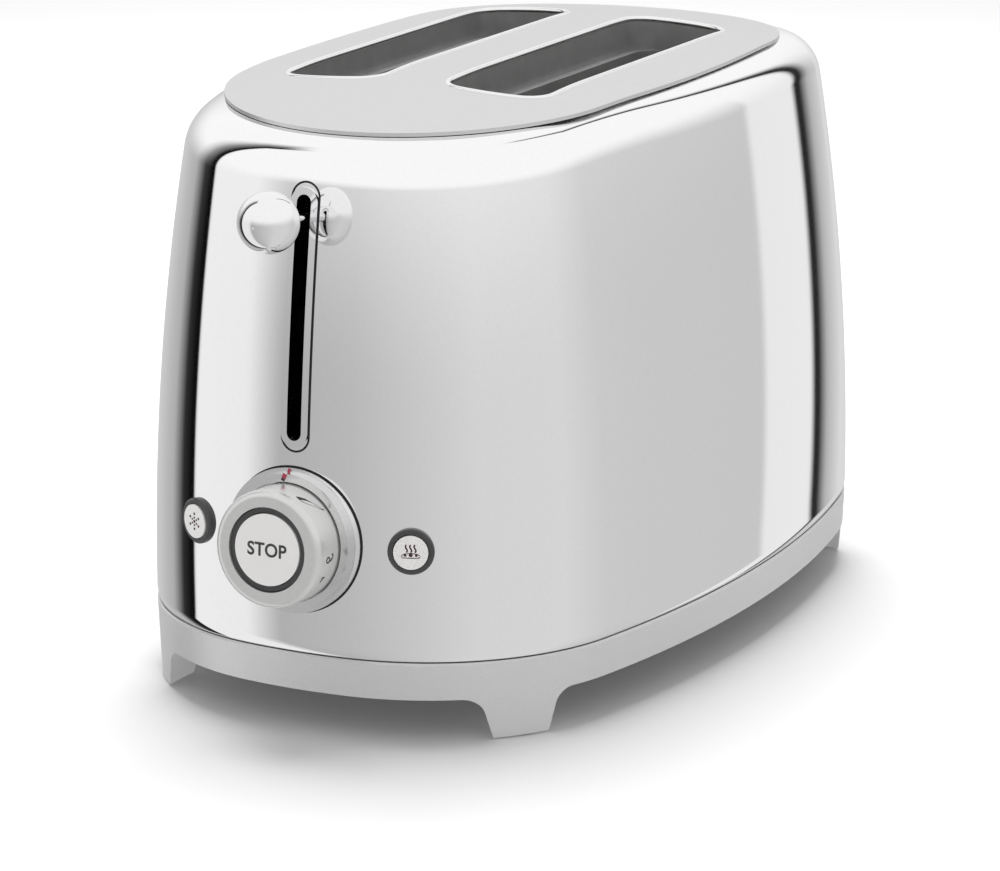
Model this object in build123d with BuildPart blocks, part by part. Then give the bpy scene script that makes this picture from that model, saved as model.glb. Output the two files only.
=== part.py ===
# Two-slice toaster in millimetres.
# +X runs from the control end to the rear, +Y to the left of the controls, +Z up.
# The origin is on the floor, under the middle of the body.
import os
from math import asin, cos, hypot, radians, sin, sqrt

from build123d import *

os.makedirs("parts", exist_ok=True)

# Body: plan outline, height, bowed sides and crowned top
body_half_length = 153.0
body_half_width = 91.5
end_radius = 150.0
side_radius = 450.0
corner_radius = 73.0
body_height = 198.0
seam_height = 26.5
bow_radius = 880.0
bow_start_height = 35.0
crown_flat_half = 45.0
crown_end_radius = 426.0
crown_end_degrees = 28.0
top_normal_least = 0.9
crown_radius_across = 555.0
shoulder_radius = 16.0
shell_sheet = 1.2
hole_depth = 6.0
seam_gap = 0.5
section_count = 5

# Top plate and bread slots
top_inset_along = 28.8
top_inset_across = 22.2
top_half_length = body_half_length - top_inset_along
top_half_width = body_half_width - top_inset_across
top_side_radius = 650.0
top_shift = -3.4
top_sheet = 1.2
top_rim_width = 7.0
seat_gap = 0.15
slot_end_margin = 53.6
slot_half_length = top_half_length - slot_end_margin
slot_width = 35.7
slot_web = 23.4
slot_middle = (slot_web + slot_width) / 2
slot_shift = top_shift
slot_end_bow = 3.0
slot_corner_radius = 9.0
liner_sheet = 0.8
liner_flange = 3.5
liner_depth = 22.0
liner_step_depth = 13.0
liner_step = 3.0

# Browning dial with the stop button in its middle
dial_height = 63.4
dial_tilt = 3.0
dial_reach = 17.0
dial_radius = 18.8
dial_rim_fillet = 2.2
dial_bore_radius = 13.6
dial_sleeve_radius = 15.4
dial_gap = 0.3
dial_ring_radius = 23.3
dial_ring_bore = 19.3
dial_ring_low = 1.9
dial_ring_high = 4.2
dial_ring_step_radius = 21.8
dial_back = 5.0
surround_wall = 1.5
stop_travel = 2.0
stop_plunger_radius = 3.0
stop_cap_depth = 7.0
board_depth = 28.0
circuit_sheet = 1.6
circuit_half_width = 50.0
circuit_low = -26.0
circuit_high = 20.0
sensor_radius = 19.0
sensor_depth = 12.0
switch_height = 2.2
switch_side = 7.0
frame_sheet = 2.0
frame_standoff = 4.0
standoff_radius = 3.0
standoff_inset = 6.0
frame_foot_reach = 8.0
surround_recess = 0.8
stop_recess = 0.3
dial_lift = 0.5

# Defrost and reheat buttons, square to the rounded corners
button_ring_gap = 7.8
button_height = 63.0
button_radius = 5.5
button_ring_radius = 7.4
button_ring_proud = 1.4
button_proud = 1.8
button_ring_depth = 4.0
button_travel = 1.5
button_plunger_radius = 2.5
button_plunger_length = 16.0
button_cap_depth = 5.0
button_ring_chamfer = 0.5

# Lever slot in the control end, between the dial ring and the shoulder
lever_slot_gap = 8.6
lever_slot_drop = 25.7
lever_slot_low = dial_height + dial_ring_radius + lever_slot_gap
lever_slot_high = body_height - lever_slot_drop
lever_slot_length = lever_slot_high - lever_slot_low
lever_slot_width = 5.1
trim_width = 2.2
trim_proud = 1.0
trim_neck = 1.2
fit_gap = 0.1

# Base moulding with its four corner feet
base_wall = 2.5
base_draft = 1.2
base_edge_chamfer = 0.6
base_floor_low = 14.1
base_floor_sheet = 2.0
foot_low = 0.6
end_arch_inset = 31.7
side_arch_inset = 36.7
end_arch_lean = 3.0
side_arch_lean = 3.0
end_arch_half_low = body_half_width - end_arch_inset
end_arch_half_high = end_arch_half_low - end_arch_lean
side_arch_half_low = body_half_length - side_arch_inset
side_arch_half_high = side_arch_half_low - side_arch_lean
arch_corner_radius = 6.0
floor_opening_inset_along = 58.0
floor_opening_inset_across = 39.5
floor_opening_length = 2 * (body_half_length - floor_opening_inset_along)
floor_opening_width = 2 * (body_half_width - floor_opening_inset_across)
pad_radius = 2.9
pad_depth = 2.0
pad_inset_along = 32.6
pad_inset_across = 27.6
pad_along = body_half_length - pad_inset_along
pad_across = body_half_width - pad_inset_across

# Bottom plate, screws and cord outlet
bottom_sheet = 1.0
bottom_inset = 4.0
vent_length = 22.0
vent_width = 3.0
vent_pitch_along = 30.0
vent_pitch_across = 10.0
vent_count_along = 5
vent_count_across = 4
screw_along = 60.0
screw_inset = 21.5
screw_across = body_half_width - screw_inset
screw_radius = 1.75
screw_head_radius = 3.4
screw_head_height = 1.6
screw_head_chamfer = 0.5
cord_outlet_inset_along = 55.0
cord_outlet_inset_across = 31.5
cord_outlet_along = body_half_length - cord_outlet_inset_along
cord_outlet_across = cord_outlet_inset_across - body_half_width
cord_bore_radius = 3.6
cord_bush_radius = 6.0
cord_flange_radius = 8.5
cord_flange_height = 1.6
cord_bush_drop = 5.0
cord_bush_rise = 4.0

# Crumb tray
tray_arch_margin = 10.8
tray_half_width = end_arch_half_high - tray_arch_margin
tray_sheet = 0.8
tray_wall_height = 6.5
tray_front_end = -60.0
tray_gap = 0.3
tray_front_gap = 0.5
tray_lip_width = 40.0
tray_lip_reach = 4.0
tray_lip_height = 3.0

# Chassis plates and heaters
chassis_sheet = 1.0
chassis_slot_gap = 5.0
chassis_front = slot_shift - slot_half_length - chassis_slot_gap
chassis_rear = slot_shift + slot_half_length + chassis_slot_gap
chassis_side_margin = 5.0
chassis_drop = 16.0
chassis_top = body_height - chassis_drop
chassis_leg_width = 9.0
chassis_clearance = 27.0
board_sheet = 1.0
board_slot_offset = 24.75
board_spread = slot_middle + board_slot_offset
chassis_half_width = board_spread + chassis_side_margin
board_rise = 21.0
board_drop = 14.0
board_low = chassis_clearance + board_rise
board_high = chassis_top - board_drop
board_tab_height = 12.0
board_tab_inset = 14.0
chassis_corner = 3.0
ribbon_width = 2.4
ribbon_sheet = 0.3
ribbon_runs = 9
ribbon_margin = 9.0

# Bread guards
guard_rail_radius = 1.0
guard_wire_radius = 0.8
guard_board_gap = 5.0
guard_inner_gap = 6.5
guard_inner_rest = guard_inner_gap
guard_outer_rest = board_spread - guard_board_gap
guard_travel = 9.0
guard_drop = 4.0
guard_low = board_low - guard_drop
guard_high = board_high - guard_drop
guard_wire_count = 8
guard_end_reach = 2.0
guard_slot_gap = 0.3

# Lever, carriage and bread lifters
lever_top_gap = 4.7
lever_low_gap = 5.3
lever_travel = lever_slot_length - lever_top_gap - lever_low_gap
ball_radius = 9.75
ball_reach = 12.6
ball_along = -body_half_length - ball_reach
ball_height = lever_slot_high - lever_top_gap
stem_radius = 1.6
stem_tilt = 6.4
lever_arm_sheet = 2.0
lever_arm_height = 18.0
carriage_sheet = 1.5
carriage_gap = 12.0
carriage_along = chassis_front - carriage_gap
carriage_half_width = 24.0
carriage_bar_half_width = 33.0
carriage_bar_reach = 6.0
lifter_drop = 80.0
lifter_height = body_height - lifter_drop
lifter_width = 12.0
lifter_corner = 4.0
lifter_sheet = 1.2
lifter_front_gap = 8.0
lifter_rear_gap = 9.0
lifter_front = chassis_front + lifter_front_gap
lifter_rear = chassis_rear - lifter_rear_gap
lifter_arm_sheet = 3.0
lifter_hole_count = 6
lifter_hole_pitch = 7.5
lifter_hole_radius = 1.5
lifter_bar_height = 5.0
lifter_overrun = 4.0
carriage_corner = 4.0
spring_tab_reach = 12.0
lever_nose_reach = 8.0
ball_socket_depth = 3.0
bracket_flange = 10.0
spring_end_gap = 0.3
magnet_yoke = 3.0
magnet_pole_half = 3.0
rod_radius = 3.0
rod_carriage_gap = 8.0
rod_along = carriage_along - rod_carriage_gap
rod_across = 16.0
rod_running_gap = 0.05
stem_rod_gap = 16.0
stem_inner_along = rod_along - stem_rod_gap
bracket_sheet = 2.0
bracket_reach = 27.0
bracket_drop = 6.0
bracket_height = chassis_top - bracket_drop
carriage_top_gap = 10.0
carriage_low = lifter_height - carriage_bar_reach
carriage_bar_high = lifter_height + carriage_bar_reach
carriage_high = bracket_height - carriage_top_gap
bush_radius = 6.0
bush_drop = 10.0
bush_length = 24.0
bush_high = carriage_high - bush_drop
bush_low = bush_high - bush_length
spring_radius = 3.5
spring_wire_radius = 0.45
spring_turns = 8
spring_tab_drop = 16.0
spring_low = carriage_high - spring_tab_drop
armature_length = 13.0
armature_width = 18.0
armature_sheet = 2.0
magnet_pole_gap = 0.3
magnet_coil_radius = 6.5


def corner_point(half_length, half_width, end_arc, side_arc):
    """Point in the +X +Y quarter where the end arc meets the side arc."""
    end_centre = half_length - end_arc
    side_centre = half_width - side_arc
    apart = hypot(end_centre, side_centre)
    along = (end_arc**2 - side_arc**2 + apart**2) / (2 * apart)
    across = sqrt(end_arc**2 - along**2)
    point_x = end_centre - (along * end_centre + across * side_centre) / apart
    point_y = (along * side_centre - across * end_centre) / apart
    return point_x, point_y


def barrel_outline(half_length, half_width, end_arc, side_arc, corner_arc):
    """Closed outline of two end arcs and two side arcs with rounded corners."""
    x, y = corner_point(half_length, half_width, end_arc, side_arc)
    with BuildLine() as outline:
        ThreePointArc((x, -y), (half_length, 0), (x, y))
        ThreePointArc((x, y), (0, half_width), (-x, y))
        ThreePointArc((-x, y), (-half_length, 0), (-x, -y))
        ThreePointArc((-x, -y), (0, -half_width), (x, -y))
    make_face(outline.edges())
    fillet(vertices(), corner_arc)


def body_outline(inset):
    barrel_outline(
        body_half_length - inset,
        body_half_width - inset,
        end_radius - inset,
        side_radius - inset,
        corner_radius - inset,
    )


def top_outline(inset):
    """Closed outline of two side arcs and the two end arcs tangent to them."""
    half_length = top_half_length - inset
    half_width = top_half_width - inset
    side_arc = top_side_radius - inset
    side_centre = half_width - side_arc
    end_arc = (side_arc**2 - side_centre**2 - half_length**2) / (2 * (side_arc - half_length))
    end_centre = half_length - end_arc
    apart = hypot(end_centre, side_centre)
    x = side_arc * end_centre / apart
    y = side_centre - side_arc * side_centre / apart
    with BuildLine() as outline:
        ThreePointArc((x, -y), (half_length, 0), (x, y))
        ThreePointArc((x, y), (0, half_width), (-x, y))
        ThreePointArc((-x, y), (-half_length, 0), (-x, -y))
        ThreePointArc((-x, -y), (0, -half_width), (x, -y))
    make_face(outline.edges())


def bow_inset(height):
    """How far the bowed side has drawn in at a height."""
    return max(height - bow_start_height, 0) ** 2 / (2 * bow_radius)


def crown_block(drop):
    """Everything under the top surface, flat along its middle, lowered by drop."""
    top = body_height - drop
    bend = crown_end_radius - drop
    turn = radians(crown_end_degrees)
    end_x = crown_flat_half + bend * sin(turn)
    end_z = top - bend * (1 - cos(turn))
    half_bend_x = crown_flat_half + bend * sin(turn / 2)
    half_bend_z = top - bend * (1 - cos(turn / 2))
    start = Plane(origin=(-end_x, 0, end_z), x_dir=(0, 1, 0), z_dir=(cos(turn), 0, sin(turn)))
    side_y = body_half_width + shoulder_radius
    side_z = -(side_y**2) / (2 * crown_radius_across)
    bottom = -body_height - shoulder_radius
    with BuildPart() as block:
        with BuildLine() as ridge:
            ThreePointArc((-end_x, 0, end_z), (-half_bend_x, 0, half_bend_z), (-crown_flat_half, 0, top))
            Line((-crown_flat_half, 0, top), (crown_flat_half, 0, top))
            ThreePointArc((crown_flat_half, 0, top), (half_bend_x, 0, half_bend_z), (end_x, 0, end_z))
        with BuildSketch(start):
            with BuildLine():
                ThreePointArc((-side_y, side_z), (0, 0), (side_y, side_z))
                Polyline((side_y, side_z), (side_y, bottom), (-side_y, bottom), (-side_y, side_z))
            make_face()
        sweep(path=ridge.line)
    return block.part


def top_rim(form):
    """Edges round the crowned top, without those that divide its three faces."""
    tops = form.faces().filter_by(lambda face: face.normal_at().Z > top_normal_least)
    edges = [edge for face in tops for edge in face.edges()]
    return [edge for edge in edges if abs((edge @ 1 - edge @ 0).X) > fit_gap]


def body_form(inset):
    """Solid inside the shell's outer surface, drawn in by inset."""
    low = seam_height + seam_gap / 2
    high = body_height + shell_sheet
    rise = (high - low) / (section_count - 1)
    with BuildPart() as form:
        for index in range(section_count):
            height = low + index * rise
            with BuildSketch(Plane.XY.offset(height)):
                body_outline(inset + bow_inset(height))
        loft()
        add(crown_block(top_sheet + seat_gap + inset), mode=Mode.INTERSECT)
        fillet(top_rim(form), shoulder_radius - inset)
    return form.part


def save(name, piece):
    piece.label = name
    export_step(piece, f"parts/{name}.step")
    print(name, round(piece.volume / 1000, 1), "cm3")


outer_form = body_form(0)
inner_form = body_form(shell_sheet)
proud_form = body_form(-trim_proud)

end_plane = Plane.YZ.offset(-body_half_length - shoulder_radius)
end_reach = 2 * shoulder_radius + ball_reach
lever_slot_middle = (lever_slot_low + lever_slot_high) / 2
neck_width = lever_slot_width + 2 * trim_neck
neck_length = lever_slot_length + 2 * trim_neck
trim_outer_width = lever_slot_width + 2 * trim_width

dial_origin = (-body_half_length + bow_inset(dial_height), 0, dial_height)
dial_lean = radians(dial_tilt)
dial_plane = Plane(
    origin=dial_origin, x_dir=(0, -1, 0), z_dir=(-cos(dial_lean), 0, sin(dial_lean))
)


def button_plane(side):
    """Plane on the rounded corner, facing out, for the button on one side."""
    centre_x, centre_y = corner_point(
        body_half_length - corner_radius,
        body_half_width - corner_radius,
        end_radius - corner_radius,
        side_radius - corner_radius,
    )
    reach = corner_radius - bow_inset(button_height)
    across = dial_ring_radius + button_ring_gap + button_ring_radius
    turn = asin((across - centre_y) / reach)
    origin = (-centre_x - reach * cos(turn), side * (centre_y + reach * sin(turn)), button_height)
    return Plane(
        origin=origin,
        x_dir=(-side * sin(turn), -cos(turn), 0),
        z_dir=(-cos(turn), side * sin(turn), 0),
    )


button_planes = {"defrost": button_plane(1), "reheat": button_plane(-1)}

# Outer shell, open below and under the top plate
with BuildPart() as outer_shell:
    add(outer_form)
    add(inner_form, mode=Mode.SUBTRACT)
    with BuildSketch(Plane((top_shift, 0, body_height))):
        top_outline(top_rim_width)
    extrude(amount=-2 * shoulder_radius, mode=Mode.SUBTRACT)
    with BuildSketch(end_plane):
        with Locations((0, lever_slot_middle)):
            SlotOverall(neck_length + 2 * fit_gap, neck_width + 2 * fit_gap, rotation=90)
    extrude(amount=end_reach, mode=Mode.SUBTRACT)
    with BuildSketch(dial_plane.offset(shell_sheet)):
        Circle(dial_sleeve_radius + dial_gap)
    extrude(amount=-hole_depth, mode=Mode.SUBTRACT)
    for plane in button_planes.values():
        with BuildSketch(plane.offset(shell_sheet)):
            Circle(button_radius + dial_gap + 2 * fit_gap)
        extrude(amount=-hole_depth, mode=Mode.SUBTRACT)
save("outer_shell", outer_shell.part)


def slot_outline(side, grow, narrow=0):
    """Bread slot outline with bowed ends, grown all round and narrowed across."""
    low = slot_shift - slot_half_length - grow
    high = slot_shift + slot_half_length + grow
    middle = side * slot_middle
    near = middle - slot_width / 2 - grow + narrow
    far = middle + slot_width / 2 + grow - narrow
    with BuildLine() as outline:
        Line((low, near), (high, near))
        ThreePointArc((high, near), (high + slot_end_bow, middle), (high, far))
        Line((high, far), (low, far))
        ThreePointArc((low, far), (low - slot_end_bow, middle), (low, near))
    make_face(outline.edges())
    fillet(vertices(), slot_corner_radius + grow)


# Crowned top plate with the two bread slots
with BuildPart() as top_plate:
    with BuildSketch(Plane((top_shift, 0, body_height))):
        top_outline(0)
    extrude(amount=-2 * shoulder_radius)
    add(crown_block(0), mode=Mode.INTERSECT)
    add(crown_block(top_sheet), mode=Mode.SUBTRACT)
    for side in (1, -1):
        with BuildSketch(Plane.XY.offset(body_height)):
            slot_outline(side, 0)
        extrude(amount=-2 * shoulder_radius, mode=Mode.SUBTRACT)
save("top_plate", top_plate.part)


def slot_liner(side):
    """Folded sheet throat under a bread slot, stepped in on its long sides."""
    under_plate = top_sheet + seat_gap
    step_height = body_height - liner_step_depth
    with BuildPart() as flange:
        with BuildSketch(Plane.XY.offset(body_height)):
            slot_outline(side, liner_flange)
        extrude(amount=-shoulder_radius)
        add(crown_block(under_plate), mode=Mode.INTERSECT)
        add(crown_block(under_plate + liner_sheet), mode=Mode.SUBTRACT)
    with BuildPart() as liner:
        with BuildSketch(Plane.XY.offset(step_height)):
            slot_outline(side, liner_sheet)
        extrude(amount=liner_step_depth)
        with BuildSketch(Plane.XY.offset(step_height)):
            slot_outline(side, liner_sheet, liner_step)
        extrude(amount=liner_step_depth - liner_depth)
        add(crown_block(under_plate), mode=Mode.INTERSECT)
        add(flange.part)
        with BuildSketch(Plane.XY.offset(step_height + liner_sheet)):
            slot_outline(side, 0)
        extrude(amount=liner_step_depth, mode=Mode.SUBTRACT)
        with BuildSketch(Plane.XY.offset(body_height)):
            slot_outline(side, 0, liner_step)
        extrude(amount=-liner_depth, mode=Mode.SUBTRACT)
    return liner.part


save("slot_liner_left", slot_liner(1))
save("slot_liner_right", slot_liner(-1))

# Trim round the lever slot, following the bowed end wall
with BuildPart() as lever_slot_neck:
    with BuildSketch(end_plane):
        with Locations((0, lever_slot_middle)):
            SlotOverall(neck_length, neck_width, rotation=90)
            SlotOverall(lever_slot_length, lever_slot_width, rotation=90, mode=Mode.SUBTRACT)
    extrude(amount=end_reach)
    add(proud_form, mode=Mode.INTERSECT)
    add(inner_form, mode=Mode.SUBTRACT)

with BuildPart() as lever_slot_trim:
    with BuildSketch(end_plane):
        with Locations((0, lever_slot_middle)):
            SlotOverall(lever_slot_length + 2 * trim_width, trim_outer_width, rotation=90)
            SlotOverall(lever_slot_length, lever_slot_width, rotation=90, mode=Mode.SUBTRACT)
    extrude(amount=end_reach)
    add(proud_form, mode=Mode.INTERSECT)
    add(outer_form, mode=Mode.SUBTRACT)
    add(lever_slot_neck.part)
save("lever_slot_trim", lever_slot_trim.part)

# Base moulding: a drafted band, and the four feet left between its arches
base_top = seam_height - seam_gap / 2
floor_top = base_floor_low + base_floor_sheet
body_reach = 2 * body_half_length
band_inside = base_wall + base_draft / 2


def base_block():
    with BuildPart() as block:
        with BuildSketch(Plane.XY.offset(foot_low)):
            body_outline(base_draft)
        with BuildSketch(Plane.XY.offset(base_top)):
            body_outline(0)
        loft(ruled=True)
        top_face = block.faces().sort_by(Axis.Z)[-1]
        chamfer(top_face.edges(), base_edge_chamfer)
    return block.part


def arch_outline(half_low, half_high):
    with BuildLine() as outline:
        Polyline(
            (-half_low, 0),
            (half_low, 0),
            (half_high, base_floor_low),
            (-half_high, base_floor_low),
            close=True,
        )
    make_face(outline.edges())
    fillet(vertices().group_by(Axis.Y)[-1], arch_corner_radius)


screw_places = GridLocations(2 * screw_along, 2 * screw_across, 2, 2)
pad_places = GridLocations(2 * pad_along, 2 * pad_across, 2, 2)

with BuildPart() as base_skirt:
    add(base_block())
    with BuildSketch(Plane.XY):
        body_outline(-fit_gap)
    extrude(amount=base_floor_low, mode=Mode.SUBTRACT)
    with BuildSketch(Plane.XY.offset(base_floor_low)):
        body_outline(band_inside)
    extrude(amount=base_top, mode=Mode.SUBTRACT)
    with BuildSketch(Plane.XY.offset(floor_top)):
        with Locations((body_half_length, 0)):
            Rectangle(corner_radius, 2 * tray_half_width + 2 * tray_gap)
    extrude(amount=base_top, mode=Mode.SUBTRACT)
save("base_skirt", base_skirt.part)

with BuildPart() as base_feet:
    add(base_block())
    with BuildSketch(Plane.XY.offset(base_floor_low)):
        body_outline(-fit_gap)
    extrude(amount=base_top, mode=Mode.SUBTRACT)
    with BuildSketch(Plane.YZ):
        arch_outline(end_arch_half_low, end_arch_half_high)
    extrude(amount=body_reach, both=True, mode=Mode.SUBTRACT)
    with BuildSketch(Plane.XZ):
        arch_outline(side_arch_half_low, side_arch_half_high)
    extrude(amount=body_reach, both=True, mode=Mode.SUBTRACT)
    with BuildSketch(Plane.XY.offset(foot_low)):
        with pad_places:
            Circle(pad_radius + fit_gap)
    extrude(amount=pad_depth, mode=Mode.SUBTRACT)
save("base_feet", base_feet.part)

with BuildPart() as base_frame:
    with BuildSketch(Plane.XY.offset(base_floor_low)):
        body_outline(band_inside + fit_gap)
        Rectangle(floor_opening_length, floor_opening_width, mode=Mode.SUBTRACT)
        with screw_places:
            Circle(screw_radius + fit_gap, mode=Mode.SUBTRACT)
        with Locations((cord_outlet_along, cord_outlet_across)):
            Circle(cord_bush_radius + fit_gap, mode=Mode.SUBTRACT)
    extrude(amount=base_floor_sheet)
save("base_frame", base_frame.part)

with BuildPart() as foot_pads:
    with BuildSketch(Plane.XY):
        with pad_places:
            Circle(pad_radius)
    extrude(amount=foot_low + pad_depth)
    chamfer(foot_pads.edges().group_by(Axis.Z)[0], foot_low / 2)
save("foot_pads", foot_pads.part)

# Bottom plate with vents under the heaters
bottom_low = floor_top + fit_gap
bottom_top = bottom_low + bottom_sheet
with BuildPart() as bottom_plate:
    with BuildSketch(Plane.XY.offset(bottom_low)):
        body_outline(bottom_inset)
        with GridLocations(vent_pitch_along, vent_pitch_across, vent_count_along, vent_count_across):
            SlotOverall(vent_length, vent_width, mode=Mode.SUBTRACT)
        with screw_places:
            Circle(screw_radius, mode=Mode.SUBTRACT)
        with Locations((cord_outlet_along, cord_outlet_across)):
            Circle(cord_bush_radius + fit_gap, mode=Mode.SUBTRACT)
    extrude(amount=bottom_sheet)
save("bottom_plate", bottom_plate.part)

with BuildPart() as bottom_screws:
    with BuildSketch(Plane.XY.offset(base_floor_low - screw_head_height)):
        with screw_places:
            Circle(screw_head_radius)
    extrude(amount=screw_head_height)
    with BuildSketch(Plane.XY.offset(base_floor_low)):
        with screw_places:
            Circle(screw_radius - fit_gap / 2)
    extrude(amount=bottom_top + bottom_sheet - base_floor_low)
    chamfer(bottom_screws.edges().group_by(Axis.Z)[0], screw_head_chamfer)
save("bottom_screws", bottom_screws.part)

with BuildPart() as cord_outlet_bush:
    cord_bush_low = base_floor_low - cord_bush_drop
    with BuildSketch(Plane((cord_outlet_along, cord_outlet_across, cord_bush_low))):
        Circle(cord_bush_radius)
        Circle(cord_bore_radius, mode=Mode.SUBTRACT)
    extrude(amount=bottom_top + cord_bush_rise - cord_bush_low)
    with BuildSketch(Plane((cord_outlet_along, cord_outlet_across, base_floor_low - fit_gap))):
        Circle(cord_flange_radius)
        Circle(cord_bore_radius, mode=Mode.SUBTRACT)
    extrude(amount=-cord_flange_height)
save("cord_outlet_bush", cord_outlet_bush.part)

# Crumb tray, whose front closes the notch in the base band
tray_low = bottom_top + tray_gap
tray_front_rise = base_top - tray_front_gap - tray_low
tray_length = 2 * (body_half_length - tray_front_end)
tray_middle = body_half_length

with BuildPart() as tray_front:
    add(base_block())
    with BuildSketch(Plane((body_half_length, 0, tray_low))):
        Rectangle(corner_radius, 2 * tray_half_width)
    extrude(amount=tray_front_rise, mode=Mode.INTERSECT)
    with BuildSketch(Plane.XY.offset(tray_low)):
        body_outline(band_inside)
    extrude(amount=tray_front_rise, mode=Mode.SUBTRACT)

with BuildPart() as crumb_tray:
    with BuildSketch(Plane((tray_middle, 0, tray_low))):
        Rectangle(tray_length, 2 * tray_half_width)
    extrude(amount=tray_wall_height)
    with BuildSketch(Plane((tray_middle + tray_sheet, 0, tray_low + tray_sheet))):
        Rectangle(tray_length, 2 * (tray_half_width - tray_sheet))
    extrude(amount=tray_wall_height, mode=Mode.SUBTRACT)
    with BuildSketch(Plane.XY.offset(tray_low)):
        body_outline(band_inside)
    extrude(amount=tray_wall_height, mode=Mode.INTERSECT)
    add(tray_front.part)
    with BuildSketch(Plane((body_half_length + (tray_lip_reach - base_wall) / 2, 0, tray_low))):
        RectangleRounded(tray_lip_reach + base_wall, tray_lip_width, base_wall / 2)
    extrude(amount=tray_lip_height)
save("crumb_tray", crumb_tray.part)

# Chassis plates that carry the heaters, the guards and the lifters
lifter_low = lifter_height - lifter_sheet / 2
lifter_bar_low = lifter_low - lifter_bar_height
lift_slot_low = lifter_bar_low - lever_travel - guard_slot_gap
lift_slot_high = lifter_low + guard_slot_gap
lift_slot_width = lifter_arm_sheet + 2 * guard_slot_gap
guard_slot_height = 2 * (guard_rail_radius + guard_slot_gap)
guard_slot_length = guard_travel + guard_slot_height
guard_places = {
    "bread_guard_left_inner": (guard_inner_rest, 1),
    "bread_guard_left_outer": (guard_outer_rest, -1),
    "bread_guard_right_inner": (-guard_inner_rest, -1),
    "bread_guard_right_outer": (-guard_outer_rest, 1),
}
board_places = {"left": board_spread, "centre": 0.0, "right": -board_spread}
tab_heights = (board_low + board_tab_inset, board_high - board_tab_inset)


def chassis_plate(face_along):
    """Folded end plate whose outer face stands at face_along, on two legs."""
    with BuildPart() as plate:
        with BuildSketch(Plane.YZ.offset(face_along)):
            with Locations((0, (chassis_clearance + chassis_top) / 2)):
                Rectangle(2 * chassis_half_width, chassis_top - chassis_clearance)
            fillet(vertices(), chassis_corner)
            leg_across = chassis_half_width - chassis_leg_width / 2
            leg_rise = chassis_clearance + chassis_corner - bottom_top
            with Locations(
                (leg_across, bottom_top + leg_rise / 2), (-leg_across, bottom_top + leg_rise / 2)
            ):
                Rectangle(chassis_leg_width, leg_rise)
            for rest, direction in guard_places.values():
                across = rest + direction * guard_travel / 2
                with Locations((across, guard_low), (across, guard_high)):
                    SlotOverall(guard_slot_length, guard_slot_height, mode=Mode.SUBTRACT)
            for side in (1, -1):
                with Locations((side * slot_middle, (lift_slot_low + lift_slot_high) / 2)):
                    Rectangle(lift_slot_width, lift_slot_high - lift_slot_low, mode=Mode.SUBTRACT)
            for across in board_places.values():
                for height in tab_heights:
                    with Locations((across, height)):
                        Rectangle(
                            board_sheet + 2 * fit_gap, board_tab_height + 2 * fit_gap, mode=Mode.SUBTRACT
                        )
        extrude(amount=chassis_sheet)
    return plate.part


save("front_chassis_plate", chassis_plate(chassis_front - chassis_sheet))
save("rear_chassis_plate", chassis_plate(chassis_rear))

# Heater boards with flat ribbon wound back and forth over them
board_length = chassis_rear - chassis_front
board_middle = (chassis_rear + chassis_front) / 2
tab_reach = chassis_sheet + board_sheet


def heater_board(across):
    with BuildPart() as board:
        with BuildSketch(Plane.XZ.offset(-across)):
            with Locations((board_middle, (board_low + board_high) / 2)):
                Rectangle(board_length, board_high - board_low)
            for height in tab_heights:
                with Locations((board_middle, height)):
                    Rectangle(board_length + 2 * tab_reach, board_tab_height)
        extrude(amount=board_sheet / 2, both=True)
    return board.part


def heater_winding(across, side):
    """Ribbon on the face of the board at across that looks to side."""
    run_length = board_length - 2 * ribbon_margin
    pitch = (board_high - board_low - 2 * ribbon_margin) / (ribbon_runs - 1)
    with BuildPart() as winding:
        with BuildSketch(Plane.XZ.offset(-across - side * board_sheet / 2)):
            for run in range(ribbon_runs):
                height = board_low + ribbon_margin + run * pitch
                with Locations((board_middle, height)):
                    Rectangle(run_length, ribbon_width)
            for turn in range(ribbon_runs - 1):
                height = board_low + ribbon_margin + (turn + 0.5) * pitch
                end = board_middle + (-1) ** turn * (run_length - ribbon_width) / 2
                with Locations((end, height)):
                    Rectangle(ribbon_width, pitch)
        extrude(amount=-side * ribbon_sheet)
    return winding.part


for board_name, board_across in board_places.items():
    save(f"heater_board_{board_name}", heater_board(board_across))
save("heater_winding_left_outer", heater_winding(board_spread, -1))
save("heater_winding_left_inner", heater_winding(0.0, 1))
save("heater_winding_right_inner", heater_winding(0.0, -1))
save("heater_winding_right_outer", heater_winding(-board_spread, 1))


def bread_guard(across):
    """Wire grid that closes on the bread, hung by its rail ends in the plates."""
    rail_length = board_length + 2 * (chassis_sheet + guard_end_reach)
    wire_pitch = (board_length - 2 * ribbon_margin) / (guard_wire_count - 1)
    with BuildPart() as guard:
        with BuildSketch(Plane.YZ.offset(board_middle - rail_length / 2)):
            with Locations((across, guard_low), (across, guard_high)):
                Circle(guard_rail_radius)
        extrude(amount=rail_length)
        with BuildSketch(Plane.XY.offset(guard_low)):
            for wire in range(guard_wire_count):
                with Locations((chassis_front + ribbon_margin + wire * wire_pitch, across)):
                    Circle(guard_wire_radius)
        extrude(amount=guard_high - guard_low)
    return guard.part


for guard_name, guard_place in guard_places.items():
    save(guard_name, bread_guard(guard_place[0]))

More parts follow.
